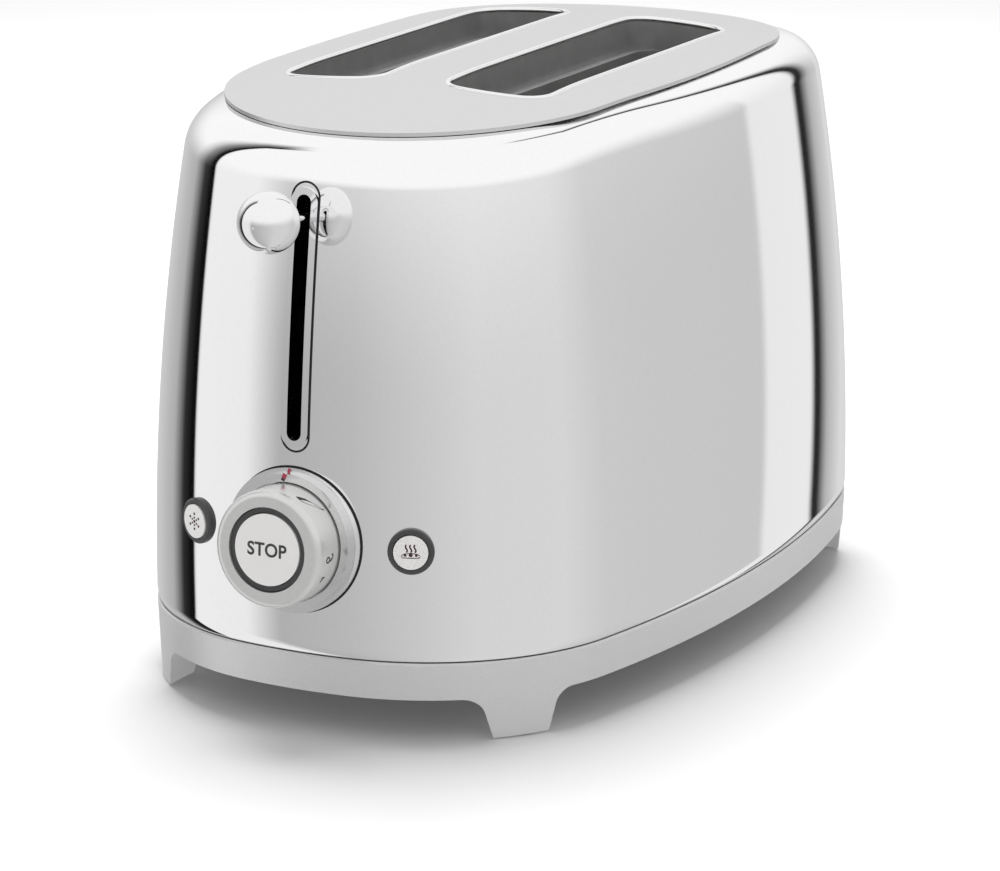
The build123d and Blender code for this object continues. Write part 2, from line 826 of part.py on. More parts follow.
# Carriage that slides on the guide rod, with the lever and both bread lifters
carriage_face = carriage_along - carriage_sheet
with BuildPart() as lever_carriage:
    with BuildSketch(Plane.YZ.offset(carriage_face)):
        with Locations((0, (carriage_low + carriage_high) / 2)):
            Rectangle(2 * carriage_half_width, carriage_high - carriage_low)
        with Locations((0, (carriage_low + carriage_bar_high) / 2)):
            Rectangle(2 * carriage_bar_half_width, carriage_bar_high - carriage_low)
        fillet(vertices().group_by(Axis.Y)[-1], carriage_corner)
    extrude(amount=carriage_sheet)
    with BuildSketch(Plane.XY.offset(spring_low)):
        with Locations((carriage_face - spring_tab_reach / 2, -rod_across)):
            Rectangle(spring_tab_reach, 2 * bush_radius)
    extrude(amount=-carriage_sheet)
save("lever_carriage", lever_carriage.part)

with BuildPart() as carriage_bush:
    with BuildSketch(Plane.XY.offset(bush_low)):
        with Locations((rod_along, rod_across)):
            Circle(bush_radius)
        with Locations(((rod_along + carriage_face) / 2, rod_across)):
            Rectangle(carriage_face - rod_along, 2 * bush_radius)
        with Locations((rod_along, rod_across)):
            Circle(rod_radius + rod_running_gap, mode=Mode.SUBTRACT)
    extrude(amount=bush_high - bush_low)
save("carriage_bush", carriage_bush.part)

with BuildPart() as latch_armature:
    with BuildSketch(Plane.XY.offset(carriage_low)):
        with Locations((carriage_face - armature_length / 2, -rod_across)):
            Rectangle(armature_length, armature_width)
            fillet(vertices().group_by(Axis.X)[0], armature_sheet)
    extrude(amount=armature_sheet)
save("latch_armature", latch_armature.part)

stem_lean = radians(stem_tilt)
ball_centre = Vector(ball_along, 0, ball_height)
stem_direction = Vector(cos(stem_lean), 0, -sin(stem_lean))
stem_length = (stem_inner_along - ball_along) / cos(stem_lean)
stem_inner_height = ball_height - stem_length * sin(stem_lean)
with BuildPart() as lever_stem:
    with BuildSketch(Plane(origin=ball_centre, z_dir=stem_direction)):
        Circle(stem_radius)
    extrude(amount=stem_length)
    with BuildSketch(Plane.XZ):
        with BuildLine():
            arm_low = stem_inner_height - lever_arm_height / 2
            arm_high = stem_inner_height + lever_arm_height / 2
            Polyline(
                (carriage_face, arm_low),
                (carriage_face, arm_high),
                (stem_inner_along, stem_inner_height + 2 * stem_radius),
                (stem_inner_along - lever_nose_reach, stem_inner_height + 2 * stem_radius),
                (stem_inner_along - lever_nose_reach, stem_inner_height - 2 * stem_radius),
                (stem_inner_along, stem_inner_height - 2 * stem_radius),
                close=True,
            )
        make_face()
    extrude(amount=lever_arm_sheet / 2, both=True)
    with BuildSketch(Plane(origin=ball_centre, z_dir=stem_direction)):
        Circle(ball_radius / 2)
    extrude(amount=ball_socket_depth, mode=Mode.SUBTRACT)
save("lever_stem", lever_stem.part)

with BuildPart() as lever_ball:
    with BuildSketch(Plane.XZ):
        with Locations((ball_along, ball_height)):
            Circle(ball_radius)
            Rectangle(2 * ball_radius, ball_radius, align=(Align.CENTER, Align.MAX), mode=Mode.SUBTRACT)
    revolve(axis=Axis(ball_centre, (1, 0, 0)))
    with BuildSketch(Plane(origin=ball_centre, z_dir=stem_direction)):
        Circle(stem_radius)
    extrude(amount=2 * ball_radius, mode=Mode.SUBTRACT)
    with BuildSketch(Plane(origin=ball_centre, z_dir=stem_direction)):
        Circle(stem_radius)
    extrude(amount=ball_socket_depth)
save("lever_ball", lever_ball.part)


def bread_lifter(side):
    across = side * slot_middle
    hole_pitch = (lifter_rear - lifter_front) / lifter_hole_count
    with BuildPart() as lifter:
        with BuildSketch(Plane.XY.offset(lifter_low)):
            with Locations(((lifter_front + lifter_rear) / 2, across)):
                RectangleRounded(lifter_rear - lifter_front, lifter_width, lifter_corner)
        extrude(amount=lifter_sheet)
        with BuildSketch(Plane.XY.offset(lifter_bar_low)):
            with Locations(((carriage_along + chassis_rear + lifter_overrun) / 2, across)):
                Rectangle(chassis_rear + lifter_overrun - carriage_along, lifter_arm_sheet)
        extrude(amount=lifter_bar_height)
        with BuildSketch(Plane.XY.offset(lifter_low)):
            with Locations(((lifter_front + lifter_rear) / 2, across)):
                with GridLocations(hole_pitch, lifter_hole_pitch, lifter_hole_count, 2):
                    Circle(lifter_hole_radius)
        extrude(amount=lifter_sheet, mode=Mode.SUBTRACT)
    return lifter.part


save("bread_lifter_left", bread_lifter(1))
save("bread_lifter_right", bread_lifter(-1))

# Guide rod, its bracket, the return spring and the magnet that holds the carriage down
bracket_top = bracket_height + bracket_sheet
with BuildPart() as guide_rod:
    with BuildSketch(Plane((rod_along, rod_across, bottom_top))):
        Circle(rod_radius)
    extrude(amount=bracket_top - bottom_top)
save("guide_rod", guide_rod.part)

plate_face = chassis_front - chassis_sheet
with BuildPart() as rod_bracket:
    with BuildSketch(Plane.XY.offset(bracket_height)):
        with Locations((plate_face - bracket_reach / 2, 0)):
            Rectangle(bracket_reach, 2 * carriage_half_width)
            fillet(vertices().group_by(Axis.X)[0], carriage_corner)
        with Locations((rod_along, rod_across)):
            Circle(rod_radius + fit_gap / 2, mode=Mode.SUBTRACT)
    extrude(amount=bracket_sheet)
    with BuildSketch(Plane.YZ.offset(plate_face)):
        with Locations((0, bracket_height)):
            Rectangle(2 * carriage_half_width, bracket_flange, align=(Align.CENTER, Align.MAX))
    extrude(amount=-bracket_sheet)
save("rod_bracket", rod_bracket.part)

spring_bottom = spring_low + spring_end_gap
spring_top = bracket_height - spring_end_gap
spring_height = spring_top - spring_bottom - 2 * spring_wire_radius
spring_pitch = spring_height / spring_turns
spring_start = Vector(rod_along, -rod_across, spring_bottom + spring_wire_radius)
with BuildPart() as return_spring:
    with BuildLine(Plane(spring_start)) as spring_path:
        Helix(spring_pitch, spring_height, spring_radius)
    with BuildSketch(Plane(origin=spring_path.line @ 0, z_dir=spring_path.line % 0)):
        Circle(spring_wire_radius)
    sweep(path=spring_path.line, is_frenet=True)
print("return_spring least self gap", round(spring_pitch - 2 * spring_wire_radius, 2), "mm")
save("return_spring", return_spring.part)

magnet_top = carriage_low - lever_travel - magnet_pole_gap
magnet_place = (rod_along, -rod_across)
pole_across = (armature_width - armature_sheet) / 2
with BuildPart() as latch_electromagnet:
    with BuildSketch(Plane.XY.offset(bottom_top)):
        with Locations(magnet_place):
            Rectangle(2 * magnet_coil_radius, armature_width + 2 * armature_sheet)
    extrude(amount=magnet_yoke)
    with BuildSketch(Plane.XY.offset(bottom_top)):
        with Locations(magnet_place):
            Circle(magnet_pole_half)
            with Locations((0, pole_across), (0, -pole_across)):
                Rectangle(2 * magnet_pole_half, armature_sheet)
    extrude(amount=magnet_top - bottom_top)
    with BuildSketch(Plane.XY.offset(bottom_top + magnet_yoke)):
        with Locations(magnet_place):
            Circle(magnet_coil_radius)
    extrude(amount=magnet_top - bottom_top - 2 * magnet_yoke)
save("latch_electromagnet", latch_electromagnet.part)

# Stepped ring on the shell round the dial, and the rings round the two buttons
with BuildPart() as dial_ring:
    with BuildSketch(dial_plane.offset(-dial_back)):
        Circle(dial_ring_radius)
        Circle(dial_ring_bore, mode=Mode.SUBTRACT)
    extrude(amount=dial_back + dial_ring_low)
    with BuildSketch(dial_plane):
        Circle(dial_ring_step_radius)
        Circle(dial_ring_bore, mode=Mode.SUBTRACT)
    extrude(amount=dial_ring_high)
    add(outer_form, mode=Mode.SUBTRACT)
save("dial_ring", dial_ring.part)

for button_name, plane in button_planes.items():
    with BuildPart() as button_ring:
        with BuildSketch(plane.offset(-button_ring_depth)):
            Circle(button_ring_radius)
            Circle(button_radius + dial_gap, mode=Mode.SUBTRACT)
        extrude(amount=button_ring_depth + button_ring_proud)
        chamfer(
            button_ring.edges().filter_by(GeomType.CIRCLE).sort_by(SortBy.RADIUS)[-2:].sort_by(Axis.X)[0],
            button_ring_chamfer,
        )
        add(outer_form, mode=Mode.SUBTRACT)
    save(f"{button_name}_ring", button_ring.part)

# Control board on its frame, with the dial sensor, the switches and the dark sleeve
switch_face = board_depth - switch_height
board_local_middle = (circuit_low + circuit_high) / 2
board_place = (0, board_local_middle)
with BuildPart() as control_board:
    with BuildSketch(dial_plane.offset(-board_depth)):
        with Locations(board_place):
            Rectangle(2 * circuit_half_width, circuit_high - circuit_low)
    extrude(amount=-circuit_sheet)
save("control_board", control_board.part)

frame_depth = board_depth + circuit_sheet + frame_standoff
frame_low = Vector(dial_origin[0] + frame_depth, 0, bottom_top)
with BuildPart() as control_frame:
    with BuildSketch(dial_plane.offset(-frame_depth)):
        with Locations(board_place):
            Rectangle(2 * circuit_half_width, 2 * dial_height)
    extrude(amount=-frame_sheet)
    with BuildSketch(Plane(frame_low)):
        Rectangle(2 * frame_foot_reach, 2 * circuit_half_width)
    extrude(amount=frame_sheet)
    split(bisect_by=Plane.XY.offset(bottom_top), keep=Keep.TOP)
    split(bisect_by=Plane.XY.offset(dial_height + circuit_high), keep=Keep.BOTTOM)
    with BuildSketch(dial_plane.offset(-frame_depth)):
        with Locations(board_place):
            with GridLocations(
                2 * (circuit_half_width - standoff_inset),
                circuit_high - circuit_low - 2 * standoff_inset,
                2,
                2,
            ):
                Circle(standoff_radius)
    extrude(amount=frame_standoff)
save("control_frame", control_frame.part)

with BuildPart() as dial_sensor:
    with BuildSketch(dial_plane.offset(-board_depth)):
        Circle(sensor_radius)
        Circle(dial_sleeve_radius + dial_gap, mode=Mode.SUBTRACT)
    extrude(amount=sensor_depth)
save("dial_sensor", dial_sensor.part)

surround_radius = dial_bore_radius - dial_gap
stop_radius = surround_radius - surround_wall - dial_gap
with BuildPart() as stop_surround:
    with BuildSketch(dial_plane.offset(-board_depth)):
        Circle(surround_radius)
        Circle(surround_radius - surround_wall, mode=Mode.SUBTRACT)
    extrude(amount=board_depth + dial_reach - surround_recess)
save("stop_surround", stop_surround.part)

button_switch_depth = button_plunger_length + button_travel + dial_gap
with BuildPart() as button_switches:
    with BuildSketch(dial_plane.offset(-board_depth)):
        Rectangle(switch_side, switch_side)
    extrude(amount=switch_height)
    for plane in button_planes.values():
        with BuildSketch(plane.offset(-button_switch_depth)):
            Rectangle(switch_side, switch_side)
        extrude(amount=-switch_side)
    split(bisect_by=dial_plane.offset(-board_depth), keep=Keep.TOP)
save("button_switches", button_switches.part)

# Browning dial, a hollow knob on a sleeve
with BuildPart() as dial_knob:
    with BuildSketch(dial_plane.offset(dial_lift)):
        Circle(dial_radius)
    extrude(amount=dial_reach - dial_lift)
    front_edge = dial_knob.faces().filter_by(GeomType.PLANE).sort_by(Axis.X)[0].edges()
    fillet(front_edge, dial_rim_fillet)
    with BuildSketch(dial_plane.offset(dial_gap - board_depth)):
        Circle(dial_sleeve_radius)
    extrude(amount=board_depth - dial_gap + dial_lift)
    with BuildSketch(dial_plane.offset(-board_depth)):
        Circle(dial_bore_radius)
    extrude(amount=board_depth + dial_reach, mode=Mode.SUBTRACT)
save("dial_knob", dial_knob.part)

with BuildPart() as stop_button:
    with BuildSketch(dial_plane.offset(dial_reach - stop_recess)):
        Circle(stop_radius)
    extrude(amount=-stop_cap_depth)
    with BuildSketch(dial_plane.offset(dial_reach - stop_recess)):
        Circle(stop_plunger_radius)
    extrude(amount=-(dial_reach - stop_recess + switch_face - stop_travel - dial_gap))
save("stop_button", stop_button.part)

for button_name, plane in button_planes.items():
    with BuildPart() as push_button:
        with BuildSketch(plane.offset(button_proud)):
            Circle(button_radius)
        extrude(amount=-button_cap_depth)
        with BuildSketch(plane):
            Circle(button_plunger_radius)
        extrude(amount=-button_plunger_length)
    save(f"{button_name}_button", push_button.part)
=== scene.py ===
import math

import bmesh
import bpy
from mathutils import Matrix, Vector
from mathutils.geometry import delaunay_2d_cdt


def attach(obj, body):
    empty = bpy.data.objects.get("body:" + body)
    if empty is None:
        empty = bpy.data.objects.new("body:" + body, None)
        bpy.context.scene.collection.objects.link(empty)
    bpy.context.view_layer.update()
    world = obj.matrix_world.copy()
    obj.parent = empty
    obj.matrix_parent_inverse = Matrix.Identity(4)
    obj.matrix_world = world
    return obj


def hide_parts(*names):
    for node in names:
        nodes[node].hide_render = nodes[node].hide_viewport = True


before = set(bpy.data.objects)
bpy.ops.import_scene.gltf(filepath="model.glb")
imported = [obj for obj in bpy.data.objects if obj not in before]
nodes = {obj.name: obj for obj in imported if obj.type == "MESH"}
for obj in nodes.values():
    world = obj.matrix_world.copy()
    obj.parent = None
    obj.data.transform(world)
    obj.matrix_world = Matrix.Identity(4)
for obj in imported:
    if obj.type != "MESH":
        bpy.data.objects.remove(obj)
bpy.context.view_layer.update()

# Looks of a two-slice toaster: mirror-polished body, satin top and base, chrome lever, white buttons
bpy.ops.object.select_all(action="DESELECT")
print("frame loaded:", len(nodes), "nodes")

mm = 0.001


# sRGB hex to the linear values that a socket takes.
def linearColour(code):
    channels = [int(code[i:i + 2], 16) / 255 for i in (1, 3, 5)]
    return [c / 12.92 if c <= 0.04045 else ((c + 0.055) / 1.055) ** 2.4 for c in channels] + [1.0]


# A node with its settings (attributes or sockets) and its incoming links.
def addNode(tree, kind, settings=None, links=None):
    node = tree.nodes.new(kind)
    for name, value in (settings or {}).items():
        if isinstance(name, int) or name in node.inputs:
            node.inputs[name].default_value = value
        else:
            setattr(node, name, value)
    for name, source in (links or {}).items():
        tree.links.new(source, node.inputs[name])
    return node


def newMaterial(name):
    material = bpy.data.materials.new(name)
    material.use_nodes = True
    material.node_tree.nodes.clear()
    return material, material.node_tree


def finishMaterial(tree, shader):
    addNode(tree, "ShaderNodeOutputMaterial", links={"Surface": shader.outputs[0]})


# Camera, fitted to the photograph
shot = {
    "azimuth": 27.33,      # degrees from -X towards -Y
    "elevation": 14.82,
    "distance": 1.557,
    "target": Vector((-0.0113, 0.0, 0.064)),
    "lens": 164.5,
    "sensor": 36.0,
    "nearest": 0.05,       # clip start in metres
}


def addCamera():
    turn = math.radians(shot["azimuth"])
    rise = math.radians(shot["elevation"])
    back = Vector((-math.cos(turn) * math.cos(rise), -math.sin(turn) * math.cos(rise), math.sin(rise)))
    bpy.ops.object.camera_add(location=shot["target"] + back * shot["distance"])
    camera = bpy.context.object
    camera.name = "camera"
    camera.rotation_euler = back.to_track_quat("Z", "Y").to_euler()
    camera.data.lens = shot["lens"]
    camera.data.sensor_width = shot["sensor"]
    camera.data.clip_start = shot["nearest"]
    bpy.context.scene.camera = camera


addCamera()
bpy.context.scene.view_settings.view_transform = "Standard"
print("camera placed")

# Studio: a white tent with black flags, which the polished steel mirrors
studio = {
    "white": 1.0,
    "fill": 0.55,           # world strength on matt surfaces
    "flagTop": 62.0,        # degrees of elevation where the black flags end
    "flagTopSoft": 8.0,
    "wallLow": -6.0,        # below this elevation the tent shows its tone, above wallHigh it is white
    "wallHigh": 20.0,
}

# Tent tone by compass angle in degrees from -X towards -Y: angle, grey
tentTones = [
    (-180.0, "#DEDEDE"),
    (-125.0, "#C9C9C9"),
    (-104.0, "#B2B2B2"),
    (-92.0, "#303030"),
    (-84.0, "#0C0C0C"),
    (-80.9, "#0A0A0A"),
    (-80.0, "#F4F4F4"),
    (-44.0, "#F1F1F1"),
    (-34.0, "#B4B4B4"),
    (-8.0, "#C0C0C0"),
    (52.0, "#D9D9D9"),
    (100.0, "#DBDBDB"),
    (134.0, "#CDCDCD"),
    (156.6, "#CBCBCB"),
    (157.2, "#EEEEEE"),
    (169.6, "#F0F0F0"),
    (170.0, "#0A0A0A"),
    (171.5, "#1C1C1C"),
    (174.5, "#B8B8B8"),
    (180.0, "#DEDEDE"),
]


# Compass angles that the two black flags span, and the thin outer edge of the first
flags = {"first": (-90.0, -80.5), "second": (169.8, 173.5), "edge": -92.0, "edgeGrey": "#909090"}


# Black where a flag hangs, grey along its thin outer edge, white elsewhere.
def flagGrey(angle):
    if angle == flags["edge"]:
        return flags["edgeGrey"]
    hung = any(low < angle < high for low, high in (flags["first"], flags["second"]))
    return "#000000" if hung else "#FFFFFF"


def toneRamp(tree, fraction, tones):
    ramp = addNode(tree, "ShaderNodeValToRGB", links={"Fac": fraction})
    stops = ramp.color_ramp.elements
    stops[0].position, stops[1].position = 0.0, 1.0
    for angle, grey in tones[1:-1]:
        stops.new((angle + 180.0) / 360.0)
    for stop, (angle, grey) in zip(stops, tones):
        stop.color = linearColour(grey)
    return ramp


def buildWorld():
    world = bpy.data.worlds.new("studio")
    bpy.context.scene.world = world
    world.use_nodes = True
    tree = world.node_tree
    tree.nodes.clear()
    where = addNode(tree, "ShaderNodeTexCoord")
    parts = addNode(tree, "ShaderNodeSeparateXYZ", links={0: where.outputs["Generated"]})
    flipX = addNode(tree, "ShaderNodeMath", {"operation": "MULTIPLY", 1: -1.0}, {0: parts.outputs["X"]})
    flipY = addNode(tree, "ShaderNodeMath", {"operation": "MULTIPLY", 1: -1.0}, {0: parts.outputs["Y"]})
    angle = addNode(tree, "ShaderNodeMath", {"operation": "ARCTAN2"},
                    {0: flipY.outputs[0], 1: flipX.outputs[0]})
    fraction = addNode(tree, "ShaderNodeMapRange", {"From Min": -math.pi, "From Max": math.pi},
                       {"Value": angle.outputs[0]})
    rise = addNode(tree, "ShaderNodeMath", {"operation": "ARCSINE"}, {0: parts.outputs["Z"]})
    tone = toneRamp(tree, fraction.outputs[0], tentTones)
    flagTones = [(a, flagGrey(a)) for a, grey in tentTones]
    hungFlags = toneRamp(tree, fraction.outputs[0], flagTones)
    whiter = addNode(tree, "ShaderNodeMapRange",
                     {"From Min": math.radians(studio["wallLow"]),
                      "From Max": math.radians(studio["wallHigh"]), "interpolation_type": "SMOOTHSTEP"},
                     {"Value": rise.outputs[0]})
    flagEnd = addNode(tree, "ShaderNodeMapRange",
                      {"From Min": math.radians(studio["flagTop"] - studio["flagTopSoft"]),
                       "From Max": math.radians(studio["flagTop"]), "interpolation_type": "SMOOTHSTEP"},
                      {"Value": rise.outputs[0]})
    notFlag = addNode(tree, "ShaderNodeMath", {"operation": "MAXIMUM"},
                      {0: hungFlags.outputs[0], 1: flagEnd.outputs[0]})
    whiteHere = addNode(tree, "ShaderNodeMath", {"operation": "MULTIPLY"},
                        {0: whiter.outputs[0], 1: notFlag.outputs[0]})
    tent = addNode(tree, "ShaderNodeMix", {"data_type": "RGBA", 7: (1.0, 1.0, 1.0, 1.0)},
                   {0: whiteHere.outputs[0], 6: tone.outputs[0]})
    mirrored = addNode(tree, "ShaderNodeBackground", {"Strength": studio["white"]},
                       {"Color": tent.outputs[2]})
    plain = addNode(tree, "ShaderNodeBackground", {"Color": (1.0, 1.0, 1.0, 1.0), "Strength": studio["fill"]})
    seen = addNode(tree, "ShaderNodeBackground", {"Color": (1.0, 1.0, 1.0, 1.0), "Strength": 1.0})
    ray = addNode(tree, "ShaderNodeLightPath")
    glossy = addNode(tree, "ShaderNodeMixShader",
                     links={0: ray.outputs["Is Glossy Ray"], 1: plain.outputs[0], 2: mirrored.outputs[0]})
    straight = addNode(tree, "ShaderNodeMath", {"operation": "MAXIMUM"},
                       {0: ray.outputs["Is Camera Ray"], 1: ray.outputs["Is Transmission Ray"]})
    view = addNode(tree, "ShaderNodeMixShader",
                   links={0: straight.outputs[0], 1: glossy.outputs[0], 2: seen.outputs[0]})
    addNode(tree, "ShaderNodeOutputWorld", links={"Surface": view.outputs[0]})


buildWorld()

# Floor and one soft overhead lamp
floor = {"halfWidth": 6.0, "tone": "#F2F2F2", "lift": 0.01}
lamp = {"width": 1.1, "place": (0.35, 0.22, 1.6), "watts": 27.0}


def addFloor():
    bpy.ops.mesh.primitive_plane_add(size=2 * floor["halfWidth"])
    plane = bpy.context.object
    plane.name = "floor"
    material, tree = newMaterial("pale floor paper")
    paper = addNode(tree, "ShaderNodeBsdfDiffuse", {"Color": linearColour(floor["tone"])})
    lift = addNode(tree, "ShaderNodeEmission", {"Color": (1.0, 1.0, 1.0, 1.0), "Strength": floor["lift"]})
    both = addNode(tree, "ShaderNodeAddShader", links={0: paper.outputs[0], 1: lift.outputs[0]})
    ray = addNode(tree, "ShaderNodeLightPath")
    shown = addNode(tree, "ShaderNodeMixShader",
                    links={0: ray.outputs["Is Camera Ray"], 1: paper.outputs[0], 2: both.outputs[0]})
    finishMaterial(tree, shown)
    plane.data.materials.append(material)
    plane.visible_glossy = False


def addLamp():
    bpy.ops.object.light_add(type="AREA", location=lamp["place"])
    light = bpy.context.object
    light.rotation_euler = Vector(lamp["place"]).to_track_quat("Z", "Y").to_euler()
    light.name = "overhead softbox"
    light.data.shape = "DISK"
    light.data.size = lamp["width"]
    light.data.energy = lamp["watts"]
    light.visible_glossy = False


addFloor()
addLamp()
print("studio built")

# Body shell: barrel plan, bowed walls, rounded shoulder under a crowned top
shell = {
    "halfLength": 153.0,
    "halfWidth": 91.5,
    "endRadius": 150.0,
    "sideRadius": 450.0,
    "cornerRadius": 73.0,
    "low": 26.75,
    "bowRadius": 880.0,
    "bowStart": 35.0,
    "height": 198.0,
    "crownFlat": 45.0,      # the top is level along this much each side of the middle
    "crownEnd": 426.0,
    "crownAcross": 555.0,
    "drop": 1.35,
    "shoulder": 16.0,
    "sheet": 1.2,
    "rollHeight": 2.6,      # the lower edge rolls in
    "rollRadius": 6.0,
    "columns": 360,
    "wallRows": 48,
    "shoulderRows": 18,
    "deckRows": 3,          # the sheet goes on level under the top plate
    "deckStep": 3.5,
}
holes = {
    "slotLow": 94.0,
    "slotHigh": 173.6,
    "slotHalfWidth": 3.85,
    "slotSideSteps": 34,
    "slotEndSteps": 14,
    "dialHeight": 63.4,
    "dialRadius": 15.7,
    "dialSteps": 64,
    "buttonTurn": 23.08,
    "buttonHeight": 63.0,
    "buttonRadius": 6.0,
    "buttonSteps": 40,
}

# Flat sheet in which the holed front of the shell is divided into triangles
patch = {
    "alongScale": 85.0,     # flat units per radian, so that a triangle is as long as on the shell
    "rowScale": 2.9,
    "reach": 36.0,          # degrees round from the middle of the front
    "shoulderRows": 10,
    "clearance": 1.1,
    "tolerance": 1e-6,
}
search = {"deepest": -60.0, "halvings": 44, "footSteps": 12, "slopeStep": 0.5, "turnReach": 0.35, "rounds": 4}


# Centre of the corner arc tangent to the end arc and the side arc, in the +X +Y quarter.
def cornerCentre():
    endX = shell["halfLength"] - shell["endRadius"]
    sideY = shell["halfWidth"] - shell["sideRadius"]
    nearEnd = shell["endRadius"] - shell["cornerRadius"]
    nearSide = shell["sideRadius"] - shell["cornerRadius"]
    apart = math.hypot(endX, sideY)
    along = (nearEnd**2 - nearSide**2 + apart**2) / (2 * apart)
    across = math.sqrt(nearEnd**2 - along**2)
    x = endX - (along * endX + across * sideY) / apart
    y = (along * sideY - across * endX) / apart
    return x, y, math.atan2(y, x - endX), math.atan2(y - sideY, x)


cornerX, cornerY, cornerStart, cornerEnd = cornerCentre()


# Plan outline point and outward normal; turn is the normal's angle from -X towards +Y.
def planPoint(turn):
    outX, outY = -math.cos(turn), math.sin(turn)
    steep = math.atan2(abs(outY), abs(outX))
    if steep < cornerStart:
        centreX, centreY, radius = shell["halfLength"] - shell["endRadius"], 0.0, shell["endRadius"]
    elif steep < cornerEnd:
        centreX, centreY, radius = cornerX, cornerY, shell["cornerRadius"]
    else:
        centreX, centreY, radius = 0.0, shell["halfWidth"] - shell["sideRadius"], shell["sideRadius"]
    x = math.copysign(centreX + radius * math.cos(steep), outX)
    y = math.copysign(centreY + radius * math.sin(steep), outY)
    return x, y, outX, outY


def crownHeight(x, y):
    over = max(abs(x) - shell["crownFlat"], 0.0)
    radius = shell["crownEnd"] - shell["drop"] - y * y / (2 * shell["crownAcross"])
    return shell["height"] - shell["crownEnd"] + math.sqrt(radius * radius - over * over)


sectionCache = {}


# Shoulder arc of the upright section at a turn: centre and its first and last angles.
def sectionAt(turn):
    key = round(turn, 9)
    if key in sectionCache:
        return sectionCache[key]
    x, y, outX, outY = planPoint(turn)
    inner = shell["bowRadius"] - shell["shoulder"]

    def crownAt(reach):
        return crownHeight(x + outX * reach, y + outY * reach)

    def footOf(reach, height):
        foot = reach
        for step in range(search["footSteps"]):
            slope = crownAt(foot + search["slopeStep"]) - crownAt(foot - search["slopeStep"])
            foot = reach - slope * (crownAt(foot) - height)
        return foot

    low, high = search["deepest"], -shell["shoulder"]
    for step in range(search["halvings"]):
        reach = (low + high) / 2
        height = shell["bowStart"] + math.sqrt(inner**2 - (reach + shell["bowRadius"])**2)
        foot = footOf(reach, height)
        apart = math.copysign(math.hypot(foot - reach, crownAt(foot) - height), crownAt(foot) - height)
        if apart > shell["shoulder"]:
            high = reach
        else:
            low = reach
    first = math.asin((height - shell["bowStart"]) / inner)
    last = math.atan2(crownAt(foot) - height, foot - reach)
    sectionCache[key] = (reach, height, first, last)
    return sectionCache[key]


# Point and normal on the shell; row counts up the wall and then over the shoulder.
def shellPoint(turn, row):
    x, y, outX, outY = planPoint(turn)
    centreReach, centreHeight, first, last = sectionAt(turn)
    wallTop = shell["bowStart"] + shell["bowRadius"] * math.sin(first)
    if row <= shell["wallRows"]:
        height = shell["low"] + (wallTop - shell["low"]) * row / shell["wallRows"]
        lean = math.asin(max(height - shell["bowStart"], 0.0) / shell["bowRadius"])
        reach = shell["bowRadius"] * (math.cos(lean) - 1)
        under = max(shell["low"] + shell["rollHeight"] - height, 0.0)
        if under > 0:
            lean = -math.asin(under / shell["rollRadius"])
            reach = shell["rollRadius"] * (math.cos(lean) - 1)
    else:
        over = min((row - shell["wallRows"]) / shell["shoulderRows"], 1.0)
        lean = first + (last - first) * over
        reach = centreReach + shell["shoulder"] * math.cos(lean)
        height = centreHeight + shell["shoulder"] * math.sin(lean)
        deck = row - shell["wallRows"] - shell["shoulderRows"]
        if deck > 0:
            reach -= deck * shell["deckStep"]
            height = crownHeight(x + outX * reach, y + outY * reach)
    point = Vector((x + outX * reach, y + outY * reach, height))
    normal = Vector((outX * math.cos(lean), outY * math.cos(lean), math.sin(lean)))
    return point, normal


def rowAtHeight(turn, height):
    low, high = 0.0, float(shell["wallRows"] + shell["shoulderRows"])
    for step in range(search["halvings"]):
        row = (low + high) / 2
        if shellPoint(turn, row)[0].z < height:
            low = row
        else:
            high = row
    return row


# Turn near guess whose point has this Y.
def turnAtAcross(across, row, guess):
    low, high = guess - search["turnReach"], guess + search["turnReach"]
    for step in range(search["halvings"]):
        turn = (low + high) / 2
        if shellPoint(turn, row)[0].y < across:
            low = turn
        else:
            high = turn
    return turn


def placeOnShell(across, height, guess):
    turn = guess
    for step in range(search["rounds"]):
        row = rowAtHeight(turn, height)
        turn = turnAtAcross(across, row, guess)
    return turn, row


def slotLoop():
    loop = []
    half = holes["slotHalfWidth"]
    low, high = holes["slotLow"] + half, holes["slotHigh"] - half
    sideSteps, endSteps = holes["slotSideSteps"], holes["slotEndSteps"]
    for step in range(endSteps):
        bend = math.pi * step / endSteps
        loop.append((half * math.cos(bend), high + half * math.sin(bend)))
    for step in range(sideSteps):
        loop.append((-half, high - (high - low) * step / sideSteps))
    for step in range(endSteps):
        bend = math.pi * (1 + step / endSteps)
        loop.append((half * math.cos(bend), low + half * math.sin(bend)))
    for step in range(sideSteps):
        loop.append((half, low + (high - low) * step / sideSteps))
    return [placeOnShell(across, height, 0.0) for across, height in loop]


def dialLoop():
    steps = holes["dialSteps"]
    loop = []
    for step in range(steps):
        bend = 2 * math.pi * step / steps
        across = holes["dialRadius"] * math.cos(bend)
        height = holes["dialHeight"] + holes["dialRadius"] * math.sin(bend)
        loop.append(placeOnShell(across, height, 0.0))
    return loop


def buttonLoop(side):
    steps = holes["buttonSteps"]
    loop = []
    middle = math.radians(holes["buttonTurn"])
    for step in range(steps):
        bend = 2 * math.pi * step / steps
        turn = middle + holes["buttonRadius"] * math.cos(bend) / shell["cornerRadius"]
        height = holes["buttonHeight"] + holes["buttonRadius"] * math.sin(bend)
        loop.append((side * turn, rowAtHeight(turn, height)))
    return loop


# Even-odd test of a point in a closed loop.
def insideLoop(point, loop):
    inside = False
    for (x1, y1), (x2, y2) in zip(loop, loop[1:] + loop[:1]):
        if (y1 > point[1]) != (y2 > point[1]):
            if point[0] < x1 + (point[1] - y1) * (x2 - x1) / (y2 - y1):
                inside = not inside
    return inside


